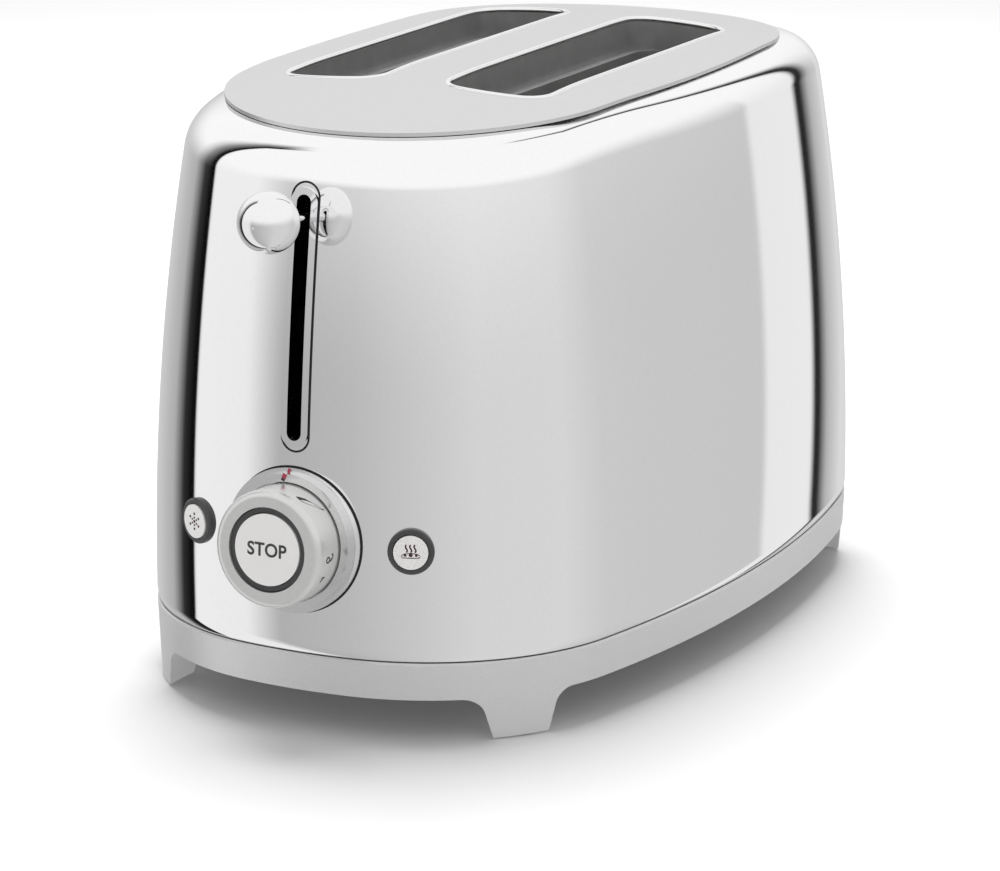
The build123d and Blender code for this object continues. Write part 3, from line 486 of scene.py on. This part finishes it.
# Turns spaced evenly along the outline, symmetric about both axes.
def loopDistance(point, loop):
    return min(math.hypot(point[0] - x, point[1] - y) for x, y in loop)


def columnTurns():
    quarter = shell["columns"] // 4
    ends = [0.0, cornerStart, cornerEnd, math.pi / 2]
    radii = [shell["endRadius"], shell["cornerRadius"], shell["sideRadius"]]
    lengths = [radius * (b - a) for radius, a, b in zip(radii, ends, ends[1:])]
    turns = []
    for start, end, length in zip(ends, ends[1:], lengths):
        count = max(2, round(quarter * length / sum(lengths)))
        turns += [start + (end - start) * step / count for step in range(count)]
    first = turns
    second = [math.pi - turn for turn in reversed(turns[1:])]
    half = first + [math.pi / 2] + second
    return half + [math.pi + turn for turn in half]


def buildShell():
    turns = columnTurns()
    count = len(turns)
    rows = shell["wallRows"] + shell["shoulderRows"] + shell["deckRows"]
    loops = [slotLoop(), dialLoop(), buttonLoop(1), buttonLoop(-1)]
    alongScale, rowScale = patch["alongScale"], patch["rowScale"]
    flatLoops = [[(turn * alongScale, row * rowScale) for turn, row in loop] for loop in loops]
    reachColumns = next(i for i, turn in enumerate(turns) if turn > math.radians(patch["reach"]))
    patchColumns = list(range(-reachColumns, reachColumns + 1))
    patchTop = shell["wallRows"] + patch["shoulderRows"]
    points, normals, faces, index = [], [], [], {}

    def vertexAt(turn, row):
        point, normal = shellPoint(turn, row)
        points.append(point)
        normals.append(normal)
        return len(points) - 1

    def gridVertex(column, row):
        key = (column % count, row)
        if key not in index:
            index[key] = vertexAt(turns[key[0]], row)
        return index[key]

    inPatch = set(column % count for column in patchColumns[:-1])
    for column in range(count):
        for row in range(rows):
            if column in inPatch and row < patchTop:
                continue
            faces.append([gridVertex(column, row), gridVertex(column, row + 1),
                          gridVertex(column + 1, row + 1), gridVertex(column + 1, row)])

    flat, vertexOf, edges = [], [], []

    def signedTurn(column):
        return turns[column] if column >= 0 else turns[column % count] - 2 * math.pi

    rim = [(column, 0) for column in patchColumns]
    rim += [(patchColumns[-1], row) for row in range(1, patchTop + 1)]
    rim += [(column, patchTop) for column in reversed(patchColumns[:-1])]
    rim += [(patchColumns[0], row) for row in range(patchTop - 1, 0, -1)]
    for column, row in rim:
        flat.append((signedTurn(column) * alongScale, row * rowScale))
        vertexOf.append(gridVertex(column, row))
    edges += [(i, (i + 1) % len(rim)) for i in range(len(rim))]
    for loop, flatLoop in zip(loops, flatLoops):
        start = len(flat)
        for (turn, row), spot in zip(loop, flatLoop):
            flat.append(spot)
            vertexOf.append(vertexAt(turn, row))
        edges += [(start + i, start + (i + 1) % len(loop)) for i in range(len(loop))]
    for column in patchColumns[1:-1]:
        for row in range(1, patchTop):
            spot = (signedTurn(column) * alongScale, row * rowScale)
            if any(insideLoop(spot, loop) or loopDistance(spot, loop) < patch["clearance"]
                   for loop in flatLoops):
                continue
            flat.append(spot)
            vertexOf.append(gridVertex(column, row))
    made = delaunay_2d_cdt([Vector(spot) for spot in flat], edges, [], 0, patch["tolerance"])
    for face in made[2]:
        middle = sum((made[0][i] for i in face), Vector((0.0, 0.0))) / 3
        if any(insideLoop(middle, loop) for loop in flatLoops):
            continue
        corners = [vertexOf[made[3][i][0]] for i in face]
        faces.append(corners[::-1])

    # every face looks outwards before the inner wall is added
    outward = []
    for face in faces:
        a, b, c = (points[i] for i in face[:3])
        if (b - a).cross(c - a).dot(normals[face[0]]) < 0:
            face = face[::-1]
        outward.append(face)
    outerCount = len(points)
    inner = [point - normal * shell["sheet"] for point, normal in zip(points, normals)]
    used = {}
    for face in outward:
        for a, b in zip(face, face[1:] + face[:1]):
            used[(a, b)] = True
    rims = [[b, a, a + outerCount, b + outerCount] for a, b in used if (b, a) not in used]
    innerFaces = [[i + outerCount for i in reversed(face)] for face in outward]
    allFaces = outward + innerFaces + rims
    loopNormals = []
    for face in outward:
        loopNormals += [normals[i] for i in face]
    for face in innerFaces:
        loopNormals += [-normals[i - outerCount] for i in face]
    loopNormals += [Vector((0.0, 0.0, 0.0))] * (4 * len(rims))
    mesh = bpy.data.meshes.new("polishedBody")
    mesh.from_pydata([p * mm for p in points + inner], [], allFaces)
    mesh.update()
    mesh.shade_smooth()
    mesh.normals_split_custom_set([tuple(normal) for normal in loopNormals])
    body = bpy.data.objects.new("polishedBody", mesh)
    bpy.context.collection.objects.link(body)
    return body


polishedBody = buildShell()
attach(polishedBody, "housing")
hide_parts("outer_shell")
print("shell built:", len(polishedBody.data.polygons), "faces")


# Placing of small pieces on the dial and the buttons
dial = {
    "lean": 3.0,            # degrees that the dial faces upwards
    "planeX": -152.542,     # where its middle meets the shell
    "knobRadius": 18.8,
    "stopFace": 16.7,
    "ringHigh": 4.2,
    "ringLow": 1.9,
}
button = {"planeX": -146.09, "across": 38.5, "face": 1.8}


def frameMatrix(right, up, out, origin):
    turn = Matrix((right, up, out)).transposed().to_4x4()
    return Matrix.Translation(origin) @ turn


# Matrix whose Z looks out of the dial, its origin this far out of the dial plane.
def dialFrame(lift):
    lean = math.radians(dial["lean"])
    right = Vector((0.0, -1.0, 0.0))
    up = Vector((math.sin(lean), 0.0, math.cos(lean)))
    out = Vector((-math.cos(lean), 0.0, math.sin(lean)))
    return frameMatrix(right, up, out, Vector((dial["planeX"], 0.0, holes["dialHeight"])) + out * lift)


# Matrix whose Z looks out of the button on that side (1 for +Y).
def buttonFrame(side):
    turn = math.radians(holes["buttonTurn"])
    out = Vector((-math.cos(turn), side * math.sin(turn), 0.0))
    up = Vector((0.0, 0.0, 1.0))
    origin = Vector((button["planeX"], side * button["across"], holes["buttonHeight"])) + out * button["face"]
    return frameMatrix(up.cross(out), up, out, origin)


# A mesh piece given in millimetres in the shared frame, riding a body.
def addPiece(name, points, faces, body, smooth=True):
    mesh = bpy.data.meshes.new(name)
    mesh.from_pydata([Vector(point) * mm for point in points], [], faces)
    mesh.update()
    if smooth:
        mesh.shade_smooth()
    piece = bpy.data.objects.new(name, mesh)
    bpy.context.collection.objects.link(piece)
    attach(piece, body)
    return piece


# A closed bead: a round profile swept round a closed path whose surface normals are outs.
def sweepBead(name, path, outs, radius, sides):
    points, faces = [], []
    total = len(path)
    for i, (spot, out) in enumerate(zip(path, outs)):
        forward = (path[(i + 1) % total] - path[i - 1]).normalized()
        across = out.cross(forward).normalized()
        for a, b in discOutline(0.0, 0.0, radius, sides):
            points.append(spot + across * a + out * b)
    for i in range(total):
        for j in range(sides):
            a, b = i * sides + j, i * sides + (j + 1) % sides
            c, d = ((i + 1) % total) * sides + (j + 1) % sides, ((i + 1) % total) * sides + j
            faces.append([a, b, c, d])
    piece = addPiece(name, points, faces, "housing")
    bm = bmesh.new()
    bm.from_mesh(piece.data)
    bmesh.ops.recalc_face_normals(bm, faces=bm.faces)
    bm.to_mesh(piece.data)
    bm.free()
    return piece


def discOutline(x, y, radius, steps):
    turns = [2 * math.pi * i / steps for i in range(steps)]
    return [(x + radius * math.cos(turn), y + radius * math.sin(turn)) for turn in turns]


# Outline of a stroke of this width along a line of points.
def strokeOutline(line, width):
    left, right = [], []
    for i, (x, y) in enumerate(line):
        ahead, behind = line[min(i + 1, len(line) - 1)], line[max(i - 1, 0)]
        dx, dy = ahead[0] - behind[0], ahead[1] - behind[1]
        size = math.hypot(dx, dy)
        left.append((x - dy / size * width / 2, y + dx / size * width / 2))
        right.append((x + dy / size * width / 2, y - dx / size * width / 2))
    return right + left[::-1]


# Printed shapes: the same outlines on an upper and a lower layer, joined round their edges.
def printedPiece(name, outlines, layers, pointOn, body):
    points, faces = [], []
    for outline in outlines:
        start, count = len(points), len(outline)
        for layer in layers:
            points += [pointOn(a, b, layer) for a, b in outline]
        faces.append([start + i for i in range(count)])
        faces.append([start + count + i for i in reversed(range(count))])
        for i in range(count):
            j = (i + 1) % count
            faces.append([start + i, start + count + i, start + count + j, start + j])
    return addPiece(name, points, faces, body, smooth=False)


# Flat printed shapes on the plane of a matrix.
def flatPrint(name, outlines, depth, place, body):
    def pointOn(a, b, layer):
        return place @ Vector((a, b, layer))

    return printedPiece(name, outlines, (depth, -depth), pointOn, body)


# Printed shapes wrapped on the knob's side; outlines are (degrees round the knob, mm out).
def knobPrint(name, outlines, depth):
    place = dialFrame(0.0)

    def pointOn(angle, out, radius):
        turn = math.radians(angle)
        return place @ Vector((radius * math.cos(turn), radius * math.sin(turn), out))

    layers = (dial["knobRadius"] + depth, dial["knobRadius"] - depth)
    return printedPiece(name, outlines, layers, pointOn, "dial")


# Outline of a stroke on the knob's side, its line given in degrees round and mm out.
def knobStroke(line, width):
    perDegree = dial["knobRadius"] * math.pi / 180
    flat = strokeOutline([(angle * perDegree, out) for angle, out in line], width)
    return [(x / perDegree, y) for x, y in flat]


# Rolled bright lips round the two bread slots
breadSlot = {
    "middle": 29.55,
    "halfWidth": 17.85,
    "halfLength": 70.6,
    "shift": -3.4,
    "bow": 3.0,
    "corner": 9.0,
    "bowSteps": 8,
    "cornerSteps": 12,
    "sideSteps": 24,
}
slotLip = {"outside": 0.55, "sink": 0.45, "radius": 1.0, "sides": 12}


# Points of a bread slot outline, anticlockwise from above, grown all round.
def slotOutline(side, grow):
    half, length, bow = breadSlot["halfWidth"] + grow, breadSlot["halfLength"] + grow, breadSlot["bow"]
    corner = breadSlot["corner"] + grow
    bowSteps, cornerSteps, sideSteps = (breadSlot[key] for key in ("bowSteps", "cornerSteps", "sideSteps"))
    bowRadius = (half * half + bow * bow) / (2 * bow)
    endX = length + bow - bowRadius
    cornerY = half - corner
    cornerX = endX + math.sqrt((bowRadius - corner) ** 2 - cornerY ** 2)
    bowTurn = math.atan2(cornerY, cornerX - endX)
    quarter = []
    for i in range(bowSteps):
        turn = bowTurn * i / bowSteps
        quarter.append((endX + bowRadius * math.cos(turn), bowRadius * math.sin(turn)))
    for i in range(cornerSteps + 1):
        turn = bowTurn + (math.pi / 2 - bowTurn) * i / cornerSteps
        quarter.append((cornerX + corner * math.cos(turn), cornerY + corner * math.sin(turn)))
    quarter += [(cornerX * (1 - i / sideSteps), half) for i in range(1, sideSteps)]
    upper = quarter + [(0.0, half)] + [(-x, y) for x, y in reversed(quarter)]
    lower = [(x, -y) for x, y in reversed(upper[1:-1])]
    return [(breadSlot["shift"] + x, side * breadSlot["middle"] + y) for x, y in upper + lower]


def topHeight(x, y):
    return crownHeight(x, y) + shell["drop"]


def topNormal(x, y):
    step = search["slopeStep"]
    slopeX = topHeight(x + step, y) - topHeight(x - step, y)
    slopeY = topHeight(x, y + step) - topHeight(x, y - step)
    return Vector((-slopeX, -slopeY, 1.0)).normalized()


def addSlotLip(side, name):
    outline = slotOutline(side, slotLip["outside"])
    path = [Vector((x, y, topHeight(x, y) - slotLip["sink"])) for x, y in outline]
    outs = [topNormal(x, y) for x, y in outline]
    lip = sweepBead(name, path, outs, slotLip["radius"], slotLip["sides"])
    return lip


slotLips = [addSlotLip(1, "slotLipLeft"), addSlotLip(-1, "slotLipRight")]
print("slot lips built")

# Painted shade: thin dark beads on the shell that stand for the shadow gaps round the lever slot trim and the
# dial ring, in mm
paintedShadeLine = {
    "halfWidth": 4.85,
    "low": 96.55,
    "high": 171.15,
    "endSteps": 24,
    "sideSteps": 30,
    "ringRadius": 23.45,
    "ringSteps": 96,
    "beadRadius": 0.34,
    "beadSides": 8,
}


def leverShadeGapOutline():
    half, low, high = paintedShadeLine["halfWidth"], paintedShadeLine["low"], paintedShadeLine["high"]
    ends, sides = paintedShadeLine["endSteps"], paintedShadeLine["sideSteps"]
    outline = []
    for turnStart, middle, across, far in ((0.0, high, -half, low), (math.pi, low, half, high)):
        for i in range(ends):
            turn = turnStart + math.pi * i / ends
            outline.append((half * math.cos(turn), middle + half * math.sin(turn)))
        outline += [(across, middle + (far - middle) * i / sides) for i in range(sides)]
    return outline


def addPaintedShadeLine(name, outline):
    spots = [shellPoint(*placeOnShell(across, height, 0.0)) for across, height in outline]
    path = [point for point, normal in spots]
    outs = [normal for point, normal in spots]
    bead = sweepBead(name, path, outs, paintedShadeLine["beadRadius"], paintedShadeLine["beadSides"])
    return bead


dialShadeGapOutline = discOutline(0.0, holes["dialHeight"], paintedShadeLine["ringRadius"], paintedShadeLine["ringSteps"])
# dark beads that paint the shadow gap round the lever slot trim and the dial ring
paintedShadeLines = [addPaintedShadeLine("leverSlotPaintedShade", leverShadeGapOutline()), addPaintedShadeLine("dialRingPaintedShade", dialShadeGapOutline)]
print("painted shade lines built")

# Lettering on the stop button
lettering = {
    "words": "STOP",
    "size": 6.2,
    "spacing": 1.02,
    "boldness": 0.13,
    "depth": 0.06,
    "width": 14.0,
    "capHeight": 4.45,
}


def addStopText():
    bpy.ops.object.text_add(location=(0.0, 0.0, 0.0))
    words = bpy.context.object
    words.name = "stopLettering"
    words.data.body = lettering["words"]
    words.data.align_x = "CENTER"
    words.data.align_y = "CENTER"
    words.data.size = lettering["size"] * mm
    words.data.space_character = lettering["spacing"]
    words.data.offset = lettering["boldness"] * mm
    words.data.extrude = lettering["depth"] * mm
    bpy.ops.object.convert(target="MESH")
    words = bpy.context.object
    low = [min(vertex.co[i] for vertex in words.data.vertices) for i in range(2)]
    high = [max(vertex.co[i] for vertex in words.data.vertices) for i in range(2)]
    middle = Vector(((low[0] + high[0]) / 2, (low[1] + high[1]) / 2, 0.0))
    wide = lettering["width"] * mm / (high[0] - low[0])
    tall = lettering["capHeight"] * mm / (high[1] - low[1])
    place = dialFrame(dial["stopFace"])
    place.translation *= mm
    for vertex in words.data.vertices:
        flat = vertex.co - middle
        vertex.co = place @ Vector((flat.x * wide, flat.y * tall, flat.z))
    words.data.update()
    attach(words, "stop")
    return words


# Marks on the knob's side in (degrees round, mm out), and on the ring in mm from its middle
dialMarks = {
    "depth": 0.05,
    "wedge": [
        (66.0, 12.4), (62.0, 12.9), (57.0, 12.6), (52.0, 11.0), (47.0, 8.6), (41.0, 6.2),
        (42.0, 6.0), (48.0, 7.6), (54.0, 8.9), (60.0, 10.0), (65.0, 11.6),
    ],
    "sixHook": [(-1.2, 8.9), (-2.2, 8.2), (-4.4, 8.1), (-6.6, 8.9), (-8.2, 10.2)],
    "sixMiddle": (-6.0, 11.0),
    "sixHalf": (2.6, 1.0),
    "sixSteps": 12,
    "sixStroke": 0.55,
    "lowNumber": [
        ([(-24.0, 11.2), (-26.5, 11.6), (-29.0, 12.1)], 0.7),
        ([(-24.6, 10.4), (-24.2, 12.2)], 0.6),
    ],
    "foot": ([(-1.9, 19.5), (-1.5, 20.6)], 1.3, 0.06),       # line, stroke width, depth
    "mark": ([(-1.55, 20.3), (-1.0, 21.8)], 1.5, 0.08),
    "tip": ([(-1.2, 21.7), (-0.6, 23.1)], 1.0, 0.06),
}


# The six, its head towards the ring, and the next number below it.
def dialNumbers():
    middle, half, steps = dialMarks["sixMiddle"], dialMarks["sixHalf"], dialMarks["sixSteps"]
    bowl = []
    for i in range(steps + 2):
        turn = 2 * math.pi * (i % steps) / steps
        bowl.append((middle[0] + half[0] * math.cos(turn), middle[1] + half[1] * math.sin(turn)))
    strokes = [(dialMarks["sixHook"], dialMarks["sixStroke"]), (bowl, dialMarks["sixStroke"])]
    return [knobStroke(line, width) for line, width in strokes + dialMarks["lowNumber"]]


def ringMark(name, part, lift):
    line, width, depth = dialMarks[part]
    return flatPrint(name, [strokeOutline(line, width)], depth, dialFrame(lift), "housing")


# Frost sign: a star of dots. Warming sign: three waves of heat over rolls on a rack.
frostSign = {"depth": 0.05, "centre": 0.5, "arms": 6, "dots": ((1.25, 0.36), (2.5, 0.44)), "sides": 20}
warmSign = {
    "depth": 0.05,
    "waves": (-1.35, 0.0, 1.35),
    "waveLow": 0.1,
    "waveHeight": 2.5,
    "waveSway": 0.28,
    "waveSteps": 12,
    "waveStroke": 0.48,
    "rolls": ((0.0, -0.75, 0.62), (-1.75, -0.85, 0.42), (1.75, -0.85, 0.42)),
    "rack": [(-2.9, -1.2), (-2.6, -1.65), (0.0, -1.75), (2.6, -1.65), (2.9, -1.2)],
    "cover": [(-2.9, -1.0), (-2.2, -0.45), (0.0, -0.15), (2.2, -0.45), (2.9, -1.0)],
    "rackStroke": 0.24,
    "sides": 20,
}


def frostOutlines():
    arms, sides = frostSign["arms"], frostSign["sides"]
    dots = [discOutline(0.0, 0.0, frostSign["centre"], sides)]
    for arm in range(arms):
        turn = math.pi * (1 + 2 * arm) / arms
        for reach, radius in frostSign["dots"]:
            dots.append(discOutline(reach * math.cos(turn), reach * math.sin(turn), radius, sides))
    return dots


def warmOutlines():
    steps = warmSign["waveSteps"]
    outlines = []
    for x in warmSign["waves"]:
        line = []
        for i in range(steps + 1):
            sway = warmSign["waveSway"] * math.sin(2 * math.pi * i / steps)
            line.append((x + sway, warmSign["waveLow"] + warmSign["waveHeight"] * i / steps))
        outlines.append(strokeOutline(line, warmSign["waveStroke"]))
    outlines += [discOutline(x, y, radius, warmSign["sides"]) for x, y, radius in warmSign["rolls"]]
    outlines += [strokeOutline(warmSign[part], warmSign["rackStroke"]) for part in ("rack", "cover")]
    return outlines


stopLettering = addStopText()
browningWedge = knobPrint("browningWedge", [dialMarks["wedge"]], dialMarks["depth"])
numbers = knobPrint("dialNumbers", dialNumbers(), dialMarks["depth"])
indexFoot = ringMark("indexFoot", "foot", dial["ringHigh"])
indexMark = ringMark("indexMark", "mark", dial["ringHigh"])
indexTip = ringMark("indexTip", "tip", dial["ringLow"])
frostPrint = flatPrint("frostSign", frostOutlines(), frostSign["depth"], buttonFrame(1), "defrost")
warmPrint = flatPrint("warmSign", warmOutlines(), warmSign["depth"], buttonFrame(-1), "reheat")
print("lettering and signs built")


# Noise on Object coordinates with grains of this size in mm, drawn out along an axis for brushing.
def grainNode(tree, grain, stretch):
    place = addNode(tree, "ShaderNodeTexCoord")
    drawn = addNode(tree, "ShaderNodeMapping", {"Scale": stretch}, {"Vector": place.outputs["Object"]})
    return addNode(tree, "ShaderNodeTexNoise", {"Scale": 1 / (grain * mm), "Detail": 4.0, "Roughness": 0.6},
                   {"Vector": drawn.outputs[0]})


# Principled material: two colours and a roughness range mixed by its grain, with a fine bump.
def makeMaterial(name, colours, roughness, grain, metallic=0.0, stretch=(1.0, 1.0, 1.0), bump=0.0):
    material, tree = newMaterial(name)
    noise = grainNode(tree, grain, stretch)
    tone = addNode(tree, "ShaderNodeMix",
                   {"data_type": "RGBA", 6: linearColour(colours[0]), 7: linearColour(colours[1])},
                   {0: noise.outputs[0]})
    rough = addNode(tree, "ShaderNodeMapRange", {"To Min": roughness[0], "To Max": roughness[1]},
                    {"Value": noise.outputs[0]})
    links = {"Base Color": tone.outputs[2], "Roughness": rough.outputs[0]}
    if bump:
        height = addNode(tree, "ShaderNodeBump", {"Strength": bump, "Distance": 0.1 * mm},
                         {"Height": noise.outputs[0]})
        links["Normal"] = height.outputs[0]
    finishMaterial(tree, addNode(tree, "ShaderNodeBsdfPrincipled", {"Metallic": metallic}, links))
    return material


# Finishes, with the size of each one's grain in millimetres
finishes = {
    # buffed to a mirror: bright, colourless, with the faintest haze of polishing marks
    "mirrorSteel": {
        "name": "mirror-polished stainless steel", "colours": ("#F4F4F4", "#FAFAFA"),
        "roughness": (0.035, 0.06), "metallic": 1.0, "grain": 1.111,
    },
    # sheet brushed along its length: soft broad highlights, the scratches coarser than real to show
    "brushedTop": {
        "name": "brushed stainless top plate", "colours": ("#D8D8D8", "#E4E4E4"), "roughness": (0.36, 0.46),
        "metallic": 1.0, "grain": 0.3846, "stretch": (0.04, 1.0, 1.0), "bump": 0.06,
    },
    # the same sheet rolled over and burnished: a thin bright line
    "burnishedLip": {
        "name": "burnished steel lip", "colours": ("#EDEDED", "#FAFAFA"), "roughness": (0.16, 0.26),
        "metallic": 1.0, "grain": 2.0, "stretch": (0.1, 1.0, 1.0),
    },
    # satin silver lacquer over a die casting: even, pale and softly bright
    "silverLacquer": {
        "name": "satin silver lacquer on die casting", "colours": ("#D6D6D6", "#E4E4E4"),
        "roughness": (0.32, 0.44), "metallic": 0.4, "grain": 0.7143, "bump": 0.08,
    },
    # plain brushed sheet: greyer and duller than the top
    "traySteel": {
        "name": "brushed steel crumb tray", "colours": ("#B4B3B0", "#C8C7C4"), "roughness": (0.3, 0.42),
        "metallic": 1.0, "grain": 2.0, "stretch": (0.1, 1.0, 1.0),
    },
    # galvanised sheet and rod: grey zinc with a dull spangle
    "zincSheet": {
        "name": "galvanised inner sheet", "colours": ("#6E6E6E", "#8C8C8C"), "roughness": (0.38, 0.55),
        "metallic": 1.0, "grain": 5.556,
    },
    # folded sheet of the slot throats, dulled by heat
    "heatedSheet": {
        "name": "heat-dulled slot throat", "colours": ("#9A9A9A", "#B6B6B6"), "roughness": (0.34, 0.5),
        "metallic": 0.4, "grain": 6.25,
    },
    # bright chrome plate: clear reflections with dark edges
    "chromePlate": {
        "name": "polished chrome plate", "colours": ("#EDEDEE", "#F6F6F7"), "roughness": (0.05, 0.09),
        "metallic": 1.0, "grain": 1.25,
    },
    # satin chrome: the same plate, slightly blurred
    "satinRing": {
        "name": "satin chrome dial ring", "colours": ("#E2E2E2", "#F0F0F0"), "roughness": (0.16, 0.26),
        "metallic": 1.0, "grain": 0.8333,
    },
    # moulded plastic with a metallic finish: light grey, softly bright
    "silverMoulding": {
        "name": "satin silver moulding", "colours": ("#DADAD9", "#E6E6E5"), "roughness": (0.2, 0.3),
        "metallic": 0.6, "grain": 0.5556, "bump": 0.05,
    },
    # glass-filled moulding: matt black with a fine tooth
    "blackMoulding": {
        "name": "matt black moulding", "colours": ("#101010", "#1A1A1A"), "roughness": (0.5, 0.65),
        "grain": 0.6667, "bump": 0.1,
    },
    # semi-gloss moulding: dark grey with a clear highlight
    "greyRing": {
        "name": "dark grey semi-gloss moulding", "colours": ("#3C3C3C", "#484848"), "roughness": (0.26, 0.36),
        "grain": 0.6667,
    },
    # gloss moulded cap: clean white
    "whiteCap": {
        "name": "white gloss cap", "colours": ("#EFEDEC", "#F7F6F5"), "roughness": (0.2, 0.28),
        "grain": 0.625,
    },
    # moulded rubber: matt, near black; the same finish paints the shade lines round the lever slot trim and
    # the dial ring
    "rubberAndPaintedShade": {
        "name": "soft black rubber", "colours": ("#141414", "#202020"), "roughness": (0.7, 0.85),
        "grain": 1.111, "bump": 0.1,
    },
    # pressed mica flakes: pale brown, patchy
    "micaBoard": {
        "name": "mica sheet", "colours": ("#A68E68", "#C7B48E"), "roughness": (0.3, 0.5), "grain": 8.333,
    },
    # oxidised resistance alloy: dull brown-grey
    "resistanceRibbon": {
        "name": "resistance ribbon", "colours": ("#5A5550", "#77716A"), "roughness": (0.4, 0.55),
        "metallic": 1.0, "grain": 3.333,
    },
    # solder mask over glass cloth: smooth mid green
    "circuitBoard": {
        "name": "green circuit board", "colours": ("#1E5A30", "#2A7340"), "roughness": (0.3, 0.4),
        "grain": 2.5,
    },
    # enamelled copper wire laid round a core: fine warm stripes
    "copperCoil": {
        "name": "enamelled copper winding", "colours": ("#A4582E", "#C47A48"), "roughness": (0.25, 0.4),
        "metallic": 1.0, "grain": 1.111, "stretch": (1.0, 1.0, 8.0), "bump": 0.2,
    },
    # pad-printed inks: flat and slightly dull
    "darkInk": {
        "name": "dark grey printing ink", "colours": ("#333333", "#404040"), "roughness": (0.5, 0.6),
        "grain": 0.6667,
    },
    "blackInk": {
        "name": "black printing ink", "colours": ("#0C0C0C", "#161616"), "roughness": (0.45, 0.55),
        "grain": 0.6667,
    },
    "brownInk": {
        "name": "dark red-brown printing ink", "colours": ("#3A1418", "#4A1C20"), "roughness": (0.45, 0.55),
        "grain": 0.6667,
    },
    "redInk": {
        "name": "red printing ink", "colours": ("#B83A52", "#C8506A"), "roughness": (0.4, 0.5),
        "grain": 0.6667,
    },
}

# Pieces that take each finish
looks = {
    "mirrorSteel": [polishedBody],
    "brushedTop": ["top_plate"],
    "burnishedLip": slotLips,
    "silverLacquer": ["base_skirt", "base_feet"],
    "traySteel": ["crumb_tray"],
    "zincSheet": [
        "base_frame", "bottom_plate", "bottom_screws", "front_chassis_plate", "rear_chassis_plate",
        "guide_rod", "rod_bracket", "return_spring", "lever_carriage", "latch_armature",
        "bread_lifter_left", "bread_lifter_right", "bread_guard_left_inner", "bread_guard_left_outer",
        "bread_guard_right_inner", "bread_guard_right_outer",
    ],
    "heatedSheet": ["slot_liner_left", "slot_liner_right"],
    "chromePlate": ["lever_slot_trim", "lever_ball", "lever_stem"],
    "satinRing": ["dial_ring"],
    "silverMoulding": ["dial_knob"],
    "blackMoulding": ["carriage_bush", "control_frame", "dial_sensor", "cord_outlet_bush", "button_switches"],
    "greyRing": ["stop_surround", "defrost_ring", "reheat_ring"],
    "whiteCap": ["stop_button", "defrost_button", "reheat_button"],
    # foot pads are real rubber; the beads round the trim and the ring are painted shade in the same black
    "rubberAndPaintedShade": ["foot_pads"] + paintedShadeLines,
    "micaBoard": ["heater_board_left", "heater_board_centre", "heater_board_right"],
    "resistanceRibbon": [
        "heater_winding_left_outer", "heater_winding_left_inner",
        "heater_winding_right_inner", "heater_winding_right_outer",
    ],
    "circuitBoard": ["control_board"],
    "copperCoil": ["latch_electromagnet"],
    "darkInk": [stopLettering, indexFoot, numbers],
    "blackInk": [browningWedge],
    "brownInk": [frostPrint, warmPrint],
    "redInk": [indexMark, indexTip],
}
for finish, pieces in looks.items():
    material = makeMaterial(**finishes[finish])
    for piece in pieces:
        shape = nodes[piece] if isinstance(piece, str) else piece
        shape.data.materials.clear()
        shape.data.materials.append(material)
print("materials given to", sum(len(pieces) for pieces in looks.values()), "pieces")
